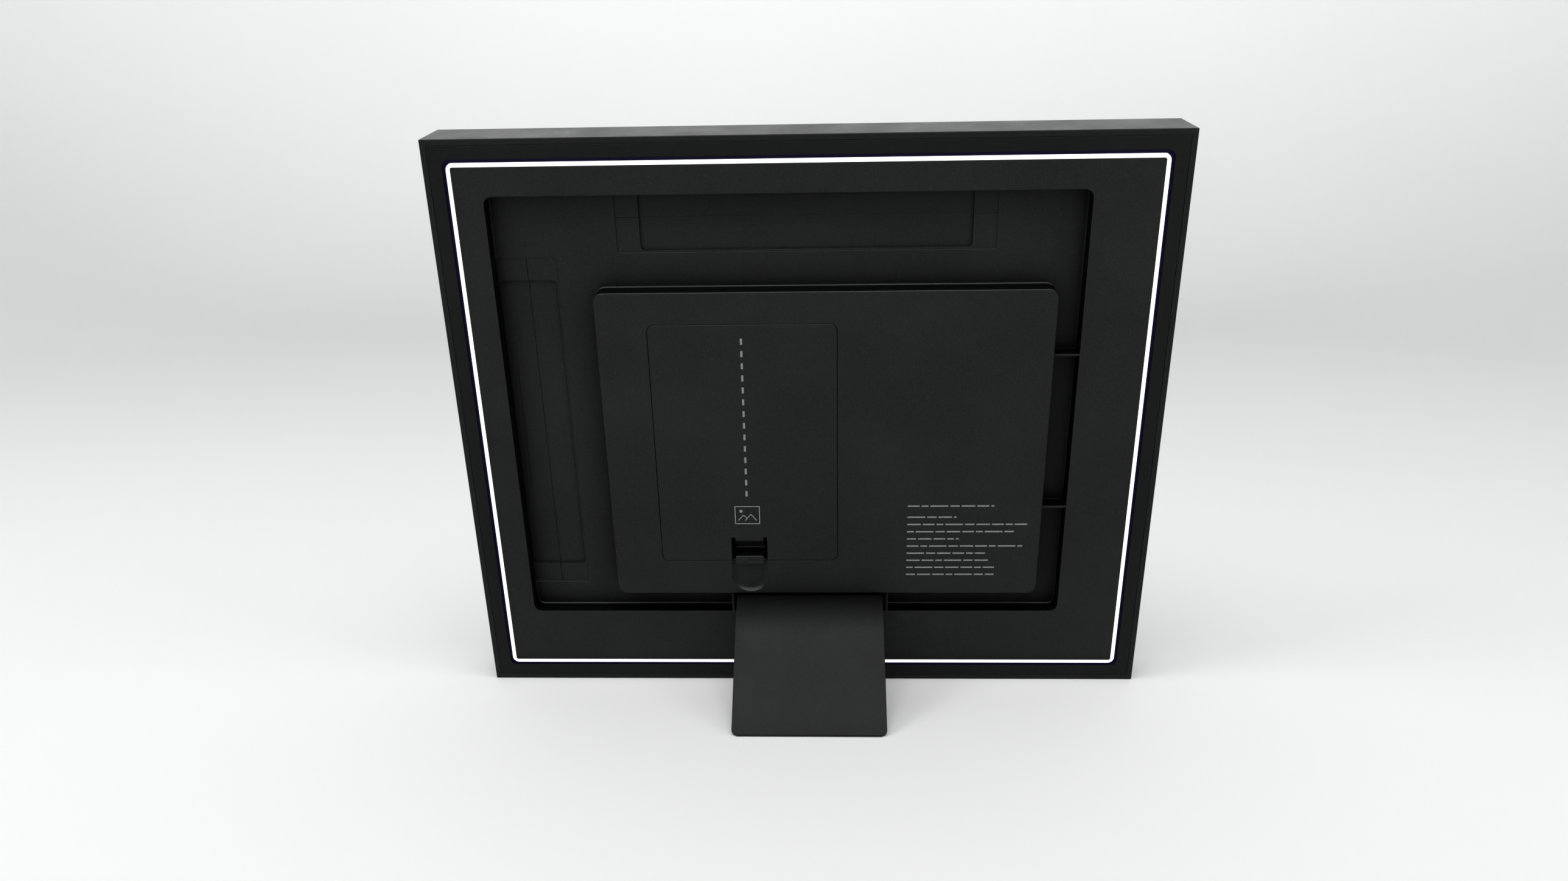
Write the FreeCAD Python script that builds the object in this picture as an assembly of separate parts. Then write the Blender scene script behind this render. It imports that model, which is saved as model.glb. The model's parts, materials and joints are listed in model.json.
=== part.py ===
"""Digital photo frame, free standing, seen at rest leaning back on its plug-in stand.

Every piece is drawn in an upright frame of its own, in millimetres: X to the right seen from
the front, Y towards the rear with the rear edge of the outer frame at 0, Z up from its bottom.
The finished pieces are then leaned back together until the stand's foot meets the table.
"""
import FreeCAD
import Part
import math
import os

V = FreeCAD.Vector
X_AXIS = V(1, 0, 0)
Y_AXIS = V(0, 1, 0)
Z_AXIS = V(0, 0, 1)

# Whole frame
FRAME_W = 406.0
FRAME_H = 341.3
FRAME_D = 33.2
LEAN_DEG = 11.5
FRAME_WALL = 3.2
FRONT_LIP = 2.5
FRONT_BORDER = 20.0
EDGE_ROUND = 0.6

# Allowances shared by many pieces
OVER = 1.0
LAP = 0.1
FLEX_T = 0.3

# Layers behind the front lip, front to back
GASKET_T = 0.5
GLASS_T = 2.0
MAT_T = 1.5
CELL_T = 1.5
FILM_T = 0.8
GUIDE_T = 3.0
TRAY_T = 4.6
CHASSIS_T = 1.0
PANE_MARGIN = 17.3
GASKET_SETBACK = 0.4
CHASSIS_MARGIN = 10.2
CHASSIS_CORNER = 4.0
CHASSIS_HOLE_CLEAR = 0.3

# Display panel, 17 inch 5:4 class
ACTIVE_W = 337.9
ACTIVE_H = 270.3
MODULE_W = 358.5
MODULE_H = 296.5
CELL_INSET = 3.0
TRAY_CORNER = 1.5
TRAY_WALL = 1.0
FILM_INSET = 1.5
BRACKET_CLEAR = 0.6
BRACKET_T = 0.8
BRACKET_LEG = 24.0
BRACKET_SETBACK = 1.5

# Rear bezel and light ring, margins counted in from the outer edge of the frame
SEAM = 0.25
BEZEL_T = 2.5
BEZEL_SINK = 1.4
BEZEL_OPENING = 10.6
BEZEL_CORNER = 4.4
RING_OUTER = 12.5
RING_INNER = 14.7
RING_OUTER_CORNER = 3.8
RING_INNER_CORNER = 1.2
RING_TOP = -0.3
RING_BOTTOM = -5.2
TROUGH_FLOOR = -7.0
FLANGE_T = 1.5
FLANGE_MARGIN = 3.6
SKIRT_T = 1.0
LED_STRIP_T = 0.3
LED_STRIP_INSET = 0.2
LED_SIZE = 1.4
LED_T = 0.8
LEDS_ACROSS = 13
LEDS_UP = 10

# Rear cover: recess, electronics housing, ribs
COVER_WALL = 2.0
RECESS_NEAR = 30.5
RECESS_FAR = 50.8
RECESS_FLOOR = -9.5
RECESS_CORNER = 4.8
RIB_GAP = 14.5
BRACKET_GAP_X = 54.7
BRACKET_GAP_Z = 53.6
HOUSING_FACE = 2.4
HOUSING_CORNER = 5.5
HOUSING_EDGE = 0.5
FLOOR_FILLET = 0.8
RIB_T = 1.3
RIB_SINK = 0.2
RIB_SPACING = 95.2

# Bracket pads on the recess floor
PAD_L = 208.0
PAD_W = 34.0
PAD_STEP = 0.3
POCKET_L = 182.0
POCKET_INSET = 1.1
POCKET_STEP = 1.5
POCKET_CORNER = 2.9
LINE_W = 0.25
LINE_DEPTH = 0.2
TOP_LINE = 14.4
SIDE_LINE = 17.0
TOP_SHORT_LINE = 3.2
SIDE_SHORT_LINE = 4.7
SHORT_LINE_L = 76.0

# Compartment, door and latch
DOOR_W = 106.0
DOOR_H = 150.0
DOOR_T = 1.8
DOOR_X = 36.0
DOOR_BOTTOM = 88.5
DOOR_CORNER = 3.7
DOOR_GAP = 0.3
DOOR_EDGE = 0.3
DOOR_LEDGE = 2.4
COMPARTMENT_FLOOR = -13.0
COMPARTMENT_WALL = 1.5
NOTCH_W = 21.6
NOTCH_H = 13.5
SLIT_W = 2.4
SLIT_H = 15.9
TAB_W = 17.3
TAB_H = 5.7
TAB_T = 1.0
TAB_DROP = 2.2
TAB_LIFT = 0.1
TAB_CORNER = 0.9
TAB_EDGE = 0.35
TAB_MARK_W = 6.2
TAB_MARK_LINE = 0.75
TAB_MARK_T = 0.12
LATCH_LEG_T = 1.1
LATCH_PIVOT_R = 0.9
LATCH_PIVOT_Y = -6.4
LATCH_PIVOT_RISE = 4.2
LATCH_POCKET_FLOOR = -4.5
LATCH_POCKET_H = 3.2
LATCH_POCKET_CLEAR = 0.5
ROOT_RISE = 4.0
ROOT_LEG_T = 1.3
ROOT_WEB_T = 1.2
TONGUE_W = 12.0
TONGUE_LIFT = 3.0
TONGUE_T = 1.6
TONGUE_OFFSET = 34.0
TONGUE_DROP = 0.2
TONGUE_REACH = 6.0
TONGUE_ROOT_CLEAR = 0.3
TONGUE_CLEAR = 0.5
TONGUE_TIP_CLEAR = 0.8
TONGUE_POCKET_FLOOR = -4.6
SCOOP_W = 22.4
SCOOP_H = 21.8
SCOOP_DEPTH = 1.3
SCOOP_SLOPE = 3.4

# Stand
STAND_W = 89.5
STAND_T = 3.0
STAND_TOP = 64.0
STAND_ROOT = -16.0
STAND_BEND_START = -6.0
STAND_BEND_R = 58.0
STAND_BEND_DEG = 36.0
STAND_CORNER = 2.6
STAND_CLEAR = 0.15
SOCKET_WALL = 1.4
SOCKET_END_T = 1.0
SOCKET_FLOOR = -16.2
STAND_EDGE = 0.4
FOOT_STRIP_T = 0.6
FOOT_STRIP_INSET = 0.4

# Battery and electronics
BATTERY_W = 97.0
BATTERY_H = 124.0
BATTERY_T = 10.6
BATTERY_BOTTOM = 108.0
BATTERY_REST = 0.1
BATTERY_CORNER = 2.5
BATTERY_EDGE = 0.8
CUSHION_T = 2.0
CUSHION_INSET = 15.0
CONTACT_PITCH = 5.0
CONTACT_W = 2.0
CONTACT_RISE = 2.0
CONTACT_BACK_L = 7.0
CONTACT_BACK_T = 0.4
CONTACT_ARM_L = 3.5
CONTACT_ARM_T = 0.6
BOARD_W = 98.0
BOARD_H = 156.0
BOARD_T = 1.6
BOARD_X = -81.0
BOARD_BOTTOM = 90.0
BOARD_CORNER = 2.0
BOARD_HOLE_INSET = 5.0
STANDOFF_H = 3.5
STANDOFF_R = 2.6
PROCESSOR_DX = -22.0
PROCESSOR_DZ = 30.0
PROCESSOR_T = 1.6
SPREADER_SIZE = 34.0
SPREADER_T = 1.6
SPREADER_H = 6.0
FIN_PITCH = 4.1
FIN_T = 1.1
RADIO_DX = 24.0
RADIO_DZ = 142.0
CARRIER_T = 0.8
CAN_T = 2.0
AERIAL_T = 0.3
RIBBON_W = 24.0
RIBBON_SLOT_SIDE = 3.0
RIBBON_SLOT_H = 5.0
RIBBON_LIFT = 0.3
RIBBON_LAP = 4.0
TAIL_W = 6.0
TAIL_X = -50.2
TAIL_CLEAR = 0.4
PORT_BOARD_W = 44.0
PORT_BOARD_H = 18.0
PORT_BOARD_T = 1.2
PORT_X = -86.0
PORT_Y = -4.2
PORT_W = 8.9
PORT_T = 3.2
PORT_L = 7.4
PORT_CLEAR = 0.3
PORT_SETBACK = 0.4
PORT_SHELL_T = 0.35
PORT_BACK_T = 0.6
PORT_TONGUE_W = 6.6
PORT_TONGUE_T = 0.7
PORT_TONGUE_SETBACK = 1.2
BUTTON_X = -68.0
BUTTON_R = 2.9
BUTTON_CLEAR = 0.1
BUTTON_PROUD = 0.9
BUTTON_TRAVEL = 0.8
BUTTON_EDGE = 0.5
COLLAR_REACH = 0.8
COLLAR_T = 0.8
COLLAR_GAP = 0.05
PLUNGER_W = 2.4
PLUNGER_CLEAR = 0.2
SWITCH_GAP = 0.1
SWITCH_W = 6.0
SWITCH_H = 4.0

# Fasteners
SCREW_R = 1.2
SCREW_CLEAR = 0.08
SCREW_HEAD_R = 2.3
SCREW_HEAD_T = 1.5
SCREW_HEAD_ROUND = 0.5
SCREW_LENGTH = 8.0
DRIVE_R = 0.9
DRIVE_DEPTH = 0.8
BOARD_SCREW_LENGTH = 4.9
COVER_SCREW_MARGIN = 7.2
BOSS_R = 2.9
CHASSIS_SCREW_MARGIN = 14.2

# Levels and places that follow from the sizes above
LIP_REAR = -FRAME_D + FRONT_LIP
GLASS_FRONT = LIP_REAR + GASKET_T
MAT_FRONT = GLASS_FRONT + GLASS_T
CELL_FRONT = MAT_FRONT + MAT_T
TRAY_FRONT = CELL_FRONT + CELL_T
CHASSIS_FRONT = TRAY_FRONT + TRAY_T
CHASSIS_REAR = CHASSIS_FRONT + CHASSIS_T
BOARD_FRONT = CHASSIS_REAR + STANDOFF_H
BOARD_REAR = BOARD_FRONT + BOARD_T
FLANGE_FRONT = TROUGH_FLOOR - FLANGE_T
COVER_INSIDE = HOUSING_FACE - COVER_WALL
DOOR_INSIDE = HOUSING_FACE - DOOR_T
DOOR_TOP = DOOR_BOTTOM + DOOR_H
DOOR_MID_Z = DOOR_BOTTOM + DOOR_H / 2
FRAME_MID_Z = FRAME_H / 2
RECESS_X0 = -FRAME_W / 2 + RECESS_FAR
RECESS_X1 = FRAME_W / 2 - RECESS_NEAR
RECESS_Z0 = RECESS_FAR
RECESS_Z1 = FRAME_H - RECESS_NEAR
HOUSING_X0 = RECESS_X0 + RIB_GAP
HOUSING_X1 = RECESS_X1 - BRACKET_GAP_X
HOUSING_Z0 = RECESS_Z0 + RIB_GAP
HOUSING_Z1 = RECESS_Z1 - BRACKET_GAP_Z
RIBBON_SLOT_Z = BOARD_BOTTOM - 24
PORT_BOARD_REAR = PORT_Y - PORT_T / 2
PORT_BOARD_Z0 = HOUSING_Z0 + COVER_WALL + 2.2
PORT_SCREW_Z = PORT_BOARD_Z0 + PORT_BOARD_H - 4.0
PORT_SCREW_X = (PORT_X - 8.0, BUTTON_X + 8.0)
BUTTON_SEAT = HOUSING_Z0 + COVER_WALL + 4.0
TROUGH_MID = (RING_OUTER + RING_INNER) / 2
TAB_LOW = DOOR_BOTTOM - TAB_DROP
TAB_FRONT = HOUSING_FACE + TAB_LIFT
LATCH_PIVOT_Z = DOOR_BOTTOM + LATCH_PIVOT_RISE
ROOT_TOP = DOOR_BOTTOM + NOTCH_H + ROOT_RISE


def box(x0, x1, y0, y1, z0, z1):
    """A block between two opposite corners."""
    return Part.makeBox(x1 - x0, y1 - y0, z1 - z0, V(x0, y0, z0))


def centred_box(x, width, y0, y1, z, height):
    """A block whose width and height are centred on (x, z)."""
    return box(x - width / 2, x + width / 2, y0, y1, z - height / 2, z + height / 2)


def edges_along(shape, axis):
    """The straight edges of a shape that run along an axis."""
    found = []
    for edge in shape.Edges:
        direction = edge.Vertexes[-1].Point - edge.Vertexes[0].Point
        if direction.Length > 0 and abs(direction.normalize().dot(axis)) > 0.999:
            found.append(edge)
    return found


def edges_at(shape, y):
    """The edges of a shape that lie wholly in the plane at height y."""
    found = []
    for edge in shape.Edges:
        if max(abs(edge.BoundBox.YMin - y), abs(edge.BoundBox.YMax - y)) < 1e-4:
            found.append(edge)
    return found


def slab(x0, x1, y0, y1, z0, z1, corner):
    """A block whose four corners, seen from the rear, are rounded."""
    block = box(x0, x1, y0, y1, z0, z1)
    return block.makeFillet(corner, edges_along(block, Y_AXIS))


def margin_box(margin, y0, y1):
    """A block that stands in from the outer edge of the frame by a margin."""
    half = FRAME_W / 2 - margin
    return box(-half, half, y0, y1, margin, FRAME_H - margin)


def margin_slab(margin, y0, y1, corner):
    """A margin_box with rounded corners."""
    half = FRAME_W / 2 - margin
    return slab(-half, half, y0, y1, margin, FRAME_H - margin, corner)


def rod(x, y0, y1, z, radius):
    """A round bar along Y."""
    return Part.makeCylinder(radius, y1 - y0, V(x, y0, z), Y_AXIS)


def group(shapes):
    """Separate solids kept in one node."""
    return Part.makeCompound(shapes)


def fuse_all(shapes):
    """One solid out of touching shapes."""
    return shapes[0].multiFuse(shapes[1:]).removeSplitter()


def cut_all(shape, tools):
    """A shape with every tool taken away."""
    return shape.cut(group(tools))


def perimeter_points(margin, across, up):
    """Evenly spaced points on a rectangle that stands in from the frame's edge by a margin."""
    half = FRAME_W / 2 - margin
    points = []
    for i in range(across):
        x = -half + 2 * half * i / (across - 1)
        points += [(x, margin), (x, FRAME_H - margin)]
    for i in range(1, up):
        z = margin + (FRAME_H - 2 * margin) * i / up
        points += [(-half, z), (half, z)]
    return points


COVER_SCREWS = perimeter_points(COVER_SCREW_MARGIN, 4, 3)
CHASSIS_SCREWS = perimeter_points(CHASSIS_SCREW_MARGIN, 3, 2)


def screw(x, z, seat, radius=SCREW_R, length=SCREW_LENGTH):
    """A pan head screw whose head sits on the plane y = seat, its shank towards the front."""
    shank = rod(x, seat - length, seat + SCREW_HEAD_T / 2, z, radius)
    head = rod(x, seat, seat + SCREW_HEAD_T, z, SCREW_HEAD_R)
    head = head.makeFillet(SCREW_HEAD_ROUND, edges_at(head, seat + SCREW_HEAD_T))
    drive = rod(x, seat + SCREW_HEAD_T - DRIVE_DEPTH, seat + SCREW_HEAD_T + OVER, z, DRIVE_R)
    return shank.fuse(head).cut(drive)


def screw_group(points, seat, length=SCREW_LENGTH):
    """Identical screws as separate solids."""
    return group([screw(x, z, seat, length=length) for x, z in points])


def screw_hole(x, z, y0, y1):
    """A hole that a screw's shank runs in."""
    return rod(x, y0, y1, z, SCREW_R + SCREW_CLEAR)


# ---------------------------------------------------------------- front and display

def outer_frame():
    """The moulded frame: four walls, the front border and the screw bosses behind it."""
    block = box(-FRAME_W / 2, FRAME_W / 2, -FRAME_D, 0, 0, FRAME_H)
    block = block.makeFillet(EDGE_ROUND, block.Edges)
    cavity = margin_box(FRAME_WALL, LIP_REAR, OVER)
    window = margin_box(FRONT_BORDER, -FRAME_D - OVER, LIP_REAR + OVER)
    frame = cut_all(block, [cavity, window])
    bosses = [rod(x, LIP_REAR - OVER, FLANGE_FRONT, z, BOSS_R) for x, z in COVER_SCREWS]
    bosses += [rod(x, LIP_REAR - OVER, CHASSIS_FRONT, z, BOSS_R) for x, z in CHASSIS_SCREWS]
    frame = fuse_all([frame] + bosses)
    holes = [screw_hole(x, z, FLANGE_FRONT - SCREW_LENGTH, OVER) for x, z in COVER_SCREWS]
    holes += [screw_hole(x, z, CHASSIS_FRONT - SCREW_LENGTH, OVER) for x, z in CHASSIS_SCREWS]
    return cut_all(frame, holes)


def glazing_gasket():
    """A thin foam ring between the front border and the pane."""
    ring = margin_box(PANE_MARGIN, LIP_REAR, GLASS_FRONT)
    return ring.cut(margin_box(FRONT_BORDER + GASKET_SETBACK, LIP_REAR - OVER, GLASS_FRONT + OVER))


def front_glass():
    """The clear pane."""
    return margin_box(PANE_MARGIN, GLASS_FRONT, MAT_FRONT)


def mat_board():
    """The mat, its window cut at 45 degrees round the picture."""
    board = margin_box(PANE_MARGIN, MAT_FRONT, CELL_FRONT)
    window = centred_box(0, ACTIVE_W, MAT_FRONT, CELL_FRONT, FRAME_MID_Z, ACTIVE_H)
    wide = Part.makePolygon(rectangle(ACTIVE_W + 2 * MAT_T, ACTIVE_H + 2 * MAT_T, MAT_FRONT))
    narrow = Part.makePolygon(rectangle(ACTIVE_W, ACTIVE_H, CELL_FRONT))
    bevel = Part.makeLoft([wide, narrow], True, True)
    return cut_all(board, [window, bevel])


def rectangle(width, height, y):
    """A closed run of corner points about the middle of the picture, at height y."""
    corners = [(-1, -1), (1, -1), (1, 1), (-1, 1), (-1, -1)]
    return [V(a * width / 2, y, FRAME_MID_Z + b * height / 2) for a, b in corners]


def module_box(inset, y0, y1):
    """A block that stands in from the display module's outline by an inset."""
    return centred_box(0, MODULE_W - 2 * inset, y0, y1, FRAME_MID_Z, MODULE_H - 2 * inset)


def lcd_cell():
    """The liquid crystal glass sandwich."""
    return module_box(CELL_INSET, CELL_FRONT, TRAY_FRONT)


def backlight_tray():
    """The pressed metal tray that carries the light guide."""
    tray = module_box(0, TRAY_FRONT, CHASSIS_FRONT)
    tray = tray.makeFillet(TRAY_CORNER, edges_along(tray, Y_AXIS))
    return tray.cut(module_box(TRAY_WALL, TRAY_FRONT - OVER, TRAY_FRONT + FILM_T + GUIDE_T))


def film_stack():
    """The diffusing films between the panel and the light guide."""
    return module_box(FILM_INSET, TRAY_FRONT, TRAY_FRONT + FILM_T)


def light_guide():
    """The acrylic plate that spreads the backlight, lying in the tray."""
    front = TRAY_FRONT + FILM_T
    return module_box(FILM_INSET, front, front + GUIDE_T)


def panel_brackets():
    """Four folded corner pieces that hold the tray square on the chassis."""
    pieces = []
    for a in (-1, 1):
        for b in (-1, 1):
            x = a * (MODULE_W / 2 + BRACKET_CLEAR)
            z = FRAME_MID_Z + b * (MODULE_H / 2 + BRACKET_CLEAR)
            outer_x = x + a * BRACKET_T
            outer_z = z + b * BRACKET_T
            legs = [box_between(outer_x, x - a * BRACKET_LEG, z, outer_z),
                    box_between(x, outer_x, outer_z, z - b * BRACKET_LEG)]
            pieces.append(fuse_all(legs))
    return group(pieces)


def box_between(x0, x1, z0, z1):
    """A bracket leg between two corners given in either order."""
    return box(min(x0, x1), max(x0, x1), TRAY_FRONT + BRACKET_SETBACK, CHASSIS_FRONT, min(z0, z1),
               max(z0, z1))


def chassis_plate():
    """The steel plate that carries the display on one side and the board on the other."""
    plate = margin_box(CHASSIS_MARGIN, CHASSIS_FRONT, CHASSIS_REAR)
    plate = plate.makeFillet(CHASSIS_CORNER, edges_along(plate, Y_AXIS))
    holes = [rod(x, CHASSIS_FRONT - OVER, CHASSIS_REAR + OVER, z, SCREW_R + CHASSIS_HOLE_CLEAR)
             for x, z in CHASSIS_SCREWS]
    ribbon_slot = centred_box(BOARD_X, RIBBON_W + 2 * RIBBON_SLOT_SIDE, CHASSIS_FRONT - OVER,
                              CHASSIS_REAR + OVER, RIBBON_SLOT_Z, RIBBON_SLOT_H)
    return cut_all(plate, holes + [ribbon_slot])


def display_ribbon():
    """The flat cable from the panel, through the chassis, up to the board."""
    x0 = BOARD_X - RIBBON_W / 2
    x1 = BOARD_X + RIBBON_W / 2
    low = CHASSIS_REAR + RIBBON_LIFT
    high = BOARD_REAR + RIBBON_LAP / 4
    turn = BOARD_BOTTOM - RIBBON_LAP
    through = box(x0, x1, CHASSIS_FRONT, low + FLEX_T, RIBBON_SLOT_Z, RIBBON_SLOT_Z + FLEX_T)
    run = box(x0, x1, low, low + FLEX_T, RIBBON_SLOT_Z, turn)
    rise = box(x0, x1, low, high, turn - FLEX_T, turn)
    lap = box(x0, x1, high - FLEX_T, high, turn, BOARD_BOTTOM + RIBBON_LAP)
    return fuse_all([through, run, rise, lap])


# ---------------------------------------------------------------- rear bezel and light ring

def rear_bezel():
    """The flat ring set flush into the rear of the frame, with a sunk lip and a skirt."""
    outer = FRAME_WALL + SEAM
    plate = margin_box(outer, -BEZEL_T, 0)
    opening = margin_slab(BEZEL_OPENING, -BEZEL_SINK, OVER, BEZEL_CORNER)
    lip_hole = margin_slab(RING_OUTER - LAP, -BEZEL_T - OVER, OVER, RING_OUTER_CORNER)
    plate = cut_all(plate, [opening, lip_hole])
    skirt = margin_box(outer, TROUGH_FLOOR, -BEZEL_T)
    skirt = skirt.cut(margin_box(outer + SKIRT_T, TROUGH_FLOOR - OVER, OVER))
    return fuse_all([plate, skirt])


def light_ring():
    """The diffuser that shows as a white line round the cover."""
    ring = margin_slab(RING_OUTER, RING_BOTTOM, RING_TOP, RING_OUTER_CORNER)
    hole = margin_slab(RING_INNER, RING_BOTTOM - OVER, RING_TOP + OVER, RING_INNER_CORNER)
    return ring.cut(hole)


def led_strip():
    """The flexible circuit strip glued to the floor of the trough."""
    ring = margin_box(RING_OUTER + LED_STRIP_INSET, TROUGH_FLOOR, TROUGH_FLOOR + LED_STRIP_T)
    return ring.cut(margin_box(RING_INNER - LED_STRIP_INSET, TROUGH_FLOOR - OVER, OVER))


def leds():
    """The light emitting diodes on the strip."""
    level = TROUGH_FLOOR + LED_STRIP_T
    points = perimeter_points(TROUGH_MID, LEDS_ACROSS, LEDS_UP)
    return group([centred_box(x, LED_SIZE, level, level + LED_T, z, LED_SIZE) for x, z in points])


# ---------------------------------------------------------------- rear cover

def recess_ring():
    """The space between the recess wall and the housing, with a rounded floor line."""
    recess = slab(RECESS_X0, RECESS_X1, RECESS_FLOOR, HOUSING_FACE + OVER, RECESS_Z0, RECESS_Z1,
                  RECESS_CORNER)
    housing = slab(HOUSING_X0, HOUSING_X1, RECESS_FLOOR - OVER, HOUSING_FACE + 2 * OVER,
                   HOUSING_Z0, HOUSING_Z1, HOUSING_CORNER)
    ring = recess.cut(housing)
    return ring.makeFillet(FLOOR_FILLET, edges_at(ring, RECESS_FLOOR))


def cover_block():
    """The solid envelope of the cover before it is hollowed."""
    rim = margin_slab(RING_INNER, -COVER_WALL, 0, RING_INNER_CORNER)
    tub = slab(RECESS_X0 - COVER_WALL, RECESS_X1 + COVER_WALL, RECESS_FLOOR - COVER_WALL, 0,
               RECESS_Z0 - COVER_WALL, RECESS_Z1 + COVER_WALL, RECESS_CORNER + COVER_WALL)
    wall = margin_slab(RING_INNER, TROUGH_FLOOR, -COVER_WALL, RING_INNER_CORNER)
    wall = wall.cut(margin_box(RING_INNER + COVER_WALL, FLANGE_FRONT - OVER, OVER))
    flange = margin_box(FLANGE_MARGIN, FLANGE_FRONT, TROUGH_FLOOR)
    flange = flange.cut(margin_box(RING_INNER + COVER_WALL, FLANGE_FRONT - OVER, OVER))
    housing = slab(HOUSING_X0, HOUSING_X1, -COVER_WALL, HOUSING_FACE, HOUSING_Z0, HOUSING_Z1,
                   HOUSING_CORNER)
    housing = housing.makeFillet(HOUSING_EDGE, edges_at(housing, HOUSING_FACE))
    return fuse_all([rim, tub, wall, flange, housing])


def housing_cavity():
    """The room inside the housing, less the walls of the battery compartment."""
    room = slab(HOUSING_X0 + COVER_WALL, HOUSING_X1 - COVER_WALL, RECESS_FLOOR - COVER_WALL - OVER,
                COVER_INSIDE, HOUSING_Z0 + COVER_WALL, HOUSING_Z1 - COVER_WALL,
                HOUSING_CORNER - COVER_WALL)
    wall = DOOR_LEDGE - COMPARTMENT_WALL
    keep = centred_box(DOOR_X, DOOR_W - 2 * wall, RECESS_FLOOR - 2 * COVER_WALL, HOUSING_FACE,
                       DOOR_MID_Z, DOOR_H - 2 * wall)
    return room.cut(keep)


def compartment_tub():
    """The part of the battery compartment that stands inside the recess floor level."""
    wall = DOOR_LEDGE - COMPARTMENT_WALL
    return centred_box(DOOR_X, DOOR_W - 2 * wall, COMPARTMENT_FLOOR - COMPARTMENT_WALL, COVER_INSIDE,
                       DOOR_MID_Z, DOOR_H - 2 * wall)


def door_seat():
    """The door's opening in the housing face."""
    half = DOOR_W / 2 + DOOR_GAP
    return slab(DOOR_X - half, DOOR_X + half, DOOR_INSIDE, HOUSING_FACE + OVER,
                DOOR_BOTTOM - DOOR_GAP, DOOR_TOP + DOOR_GAP, DOOR_CORNER + DOOR_GAP)


def compartment_well():
    """The space that the battery lies in, behind the door."""
    return centred_box(DOOR_X, DOOR_W - 2 * DOOR_LEDGE, COMPARTMENT_FLOOR, HOUSING_FACE, DOOR_MID_Z,
                       DOOR_H - 2 * DOOR_LEDGE)


def tongue_pockets():
    """Clearance for the door's two tongues to swing behind the housing face and up off the ledge."""
    pockets = []
    low = DOOR_TOP - DOOR_LEDGE - OVER
    for side in (-1, 1):
        x = DOOR_X + side * TONGUE_OFFSET
        half = TONGUE_W / 2 + TONGUE_CLEAR
        pockets.append(box(x - half, x + half, TONGUE_POCKET_FLOOR, COVER_INSIDE, low,
                           DOOR_TOP + TONGUE_LIFT + TONGUE_TIP_CLEAR))
        pockets.append(box(x - half, x + half, TONGUE_POCKET_FLOOR, DOOR_INSIDE + LAP, low,
                           DOOR_TOP + DOOR_GAP))
    return pockets


def latch_pocket():
    """Clearance for the latch where it springs inside the compartment's lower wall."""
    return centred_box(DOOR_X, NOTCH_W + 2 * LATCH_POCKET_CLEAR, LATCH_POCKET_FLOOR, DOOR_INSIDE + LAP,
                       DOOR_BOTTOM + LATCH_POCKET_H / 2, LATCH_POCKET_H)


def scoop_side(z):
    """Half of the scoop's cross-section at height z: a flat middle that curves up to the mouth."""
    floor_y = HOUSING_FACE - SCOOP_DEPTH
    flat_x = DOOR_X + SCOOP_W / 2 - SCOOP_SLOPE
    radius = (SCOOP_SLOPE ** 2 + SCOOP_DEPTH ** 2) / (2 * SCOOP_DEPTH)
    half_turn = math.asin(SCOOP_SLOPE / radius) / 2
    rise = V(flat_x + radius * math.sin(half_turn), floor_y + radius * (1 - math.cos(half_turn)), z)
    flat = V(flat_x, floor_y, z)
    mouth = V(DOOR_X + SCOOP_W / 2, HOUSING_FACE, z)
    over = V(0, OVER, 0)
    run = [mouth, mouth + over, V(DOOR_X, HOUSING_FACE, z) + over, V(DOOR_X, floor_y, z), flat]
    edges = [Part.LineSegment(run[i], run[i + 1]).toShape() for i in range(len(run) - 1)]
    edges.append(Part.Arc(flat, rise, mouth).toShape())
    return Part.Face(Part.Wire(edges))


def finger_scoop():
    """The shallow hollow below the latch, round at its foot, with soft sides and a crisp rim."""
    middle = DOOR_BOTTOM - SCOOP_H + SCOOP_W / 2
    half = scoop_side(middle)
    foot = half.revolve(V(DOOR_X, 0, middle), Y_AXIS, 180)
    left = half.extrude(V(0, 0, DOOR_BOTTOM + OVER - middle))
    return fuse_all([foot, left, left.mirror(V(DOOR_X, 0, 0), X_AXIS)])


def line_across(length, offset):
    """A fine scored line along the upper pad, a distance below the recess's upper wall."""
    z = RECESS_Z1 - offset
    return box(-length / 2, length / 2, RECESS_FLOOR - POCKET_STEP - LINE_DEPTH, 0,
               z - LINE_W / 2, z + LINE_W / 2)


def line_up(length, offset):
    """A fine scored line up the side pad, a distance in from the recess's side wall."""
    x = RECESS_X1 - offset
    return box(x - LINE_W / 2, x + LINE_W / 2, RECESS_FLOOR - POCKET_STEP - LINE_DEPTH, 0,
               FRAME_MID_Z - length / 2, FRAME_MID_Z + length / 2)


def bracket_pads():
    """Two stepped pads on the recess floor, each with a deeper pocket and two fine lines."""
    low = RECESS_FLOOR - PAD_STEP
    deep = RECESS_FLOOR - POCKET_STEP
    top = [box(-PAD_L / 2, PAD_L / 2, low, 0, RECESS_Z1 - PAD_W, RECESS_Z1),
           slab(-POCKET_L / 2, POCKET_L / 2, deep, 0, RECESS_Z1 - PAD_W + POCKET_INSET, RECESS_Z1,
                POCKET_CORNER),
           line_across(PAD_L, TOP_LINE),
           line_across(SHORT_LINE_L, TOP_SHORT_LINE)]
    side = [box(RECESS_X1 - PAD_W, RECESS_X1, low, 0, FRAME_MID_Z - PAD_L / 2,
                FRAME_MID_Z + PAD_L / 2),
            slab(RECESS_X1 - PAD_W + POCKET_INSET, RECESS_X1, deep, 0, FRAME_MID_Z - POCKET_L / 2,
                 FRAME_MID_Z + POCKET_L / 2, POCKET_CORNER),
            line_up(PAD_L, SIDE_LINE),
            line_up(SHORT_LINE_L, SIDE_SHORT_LINE)]
    return top + side


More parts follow.
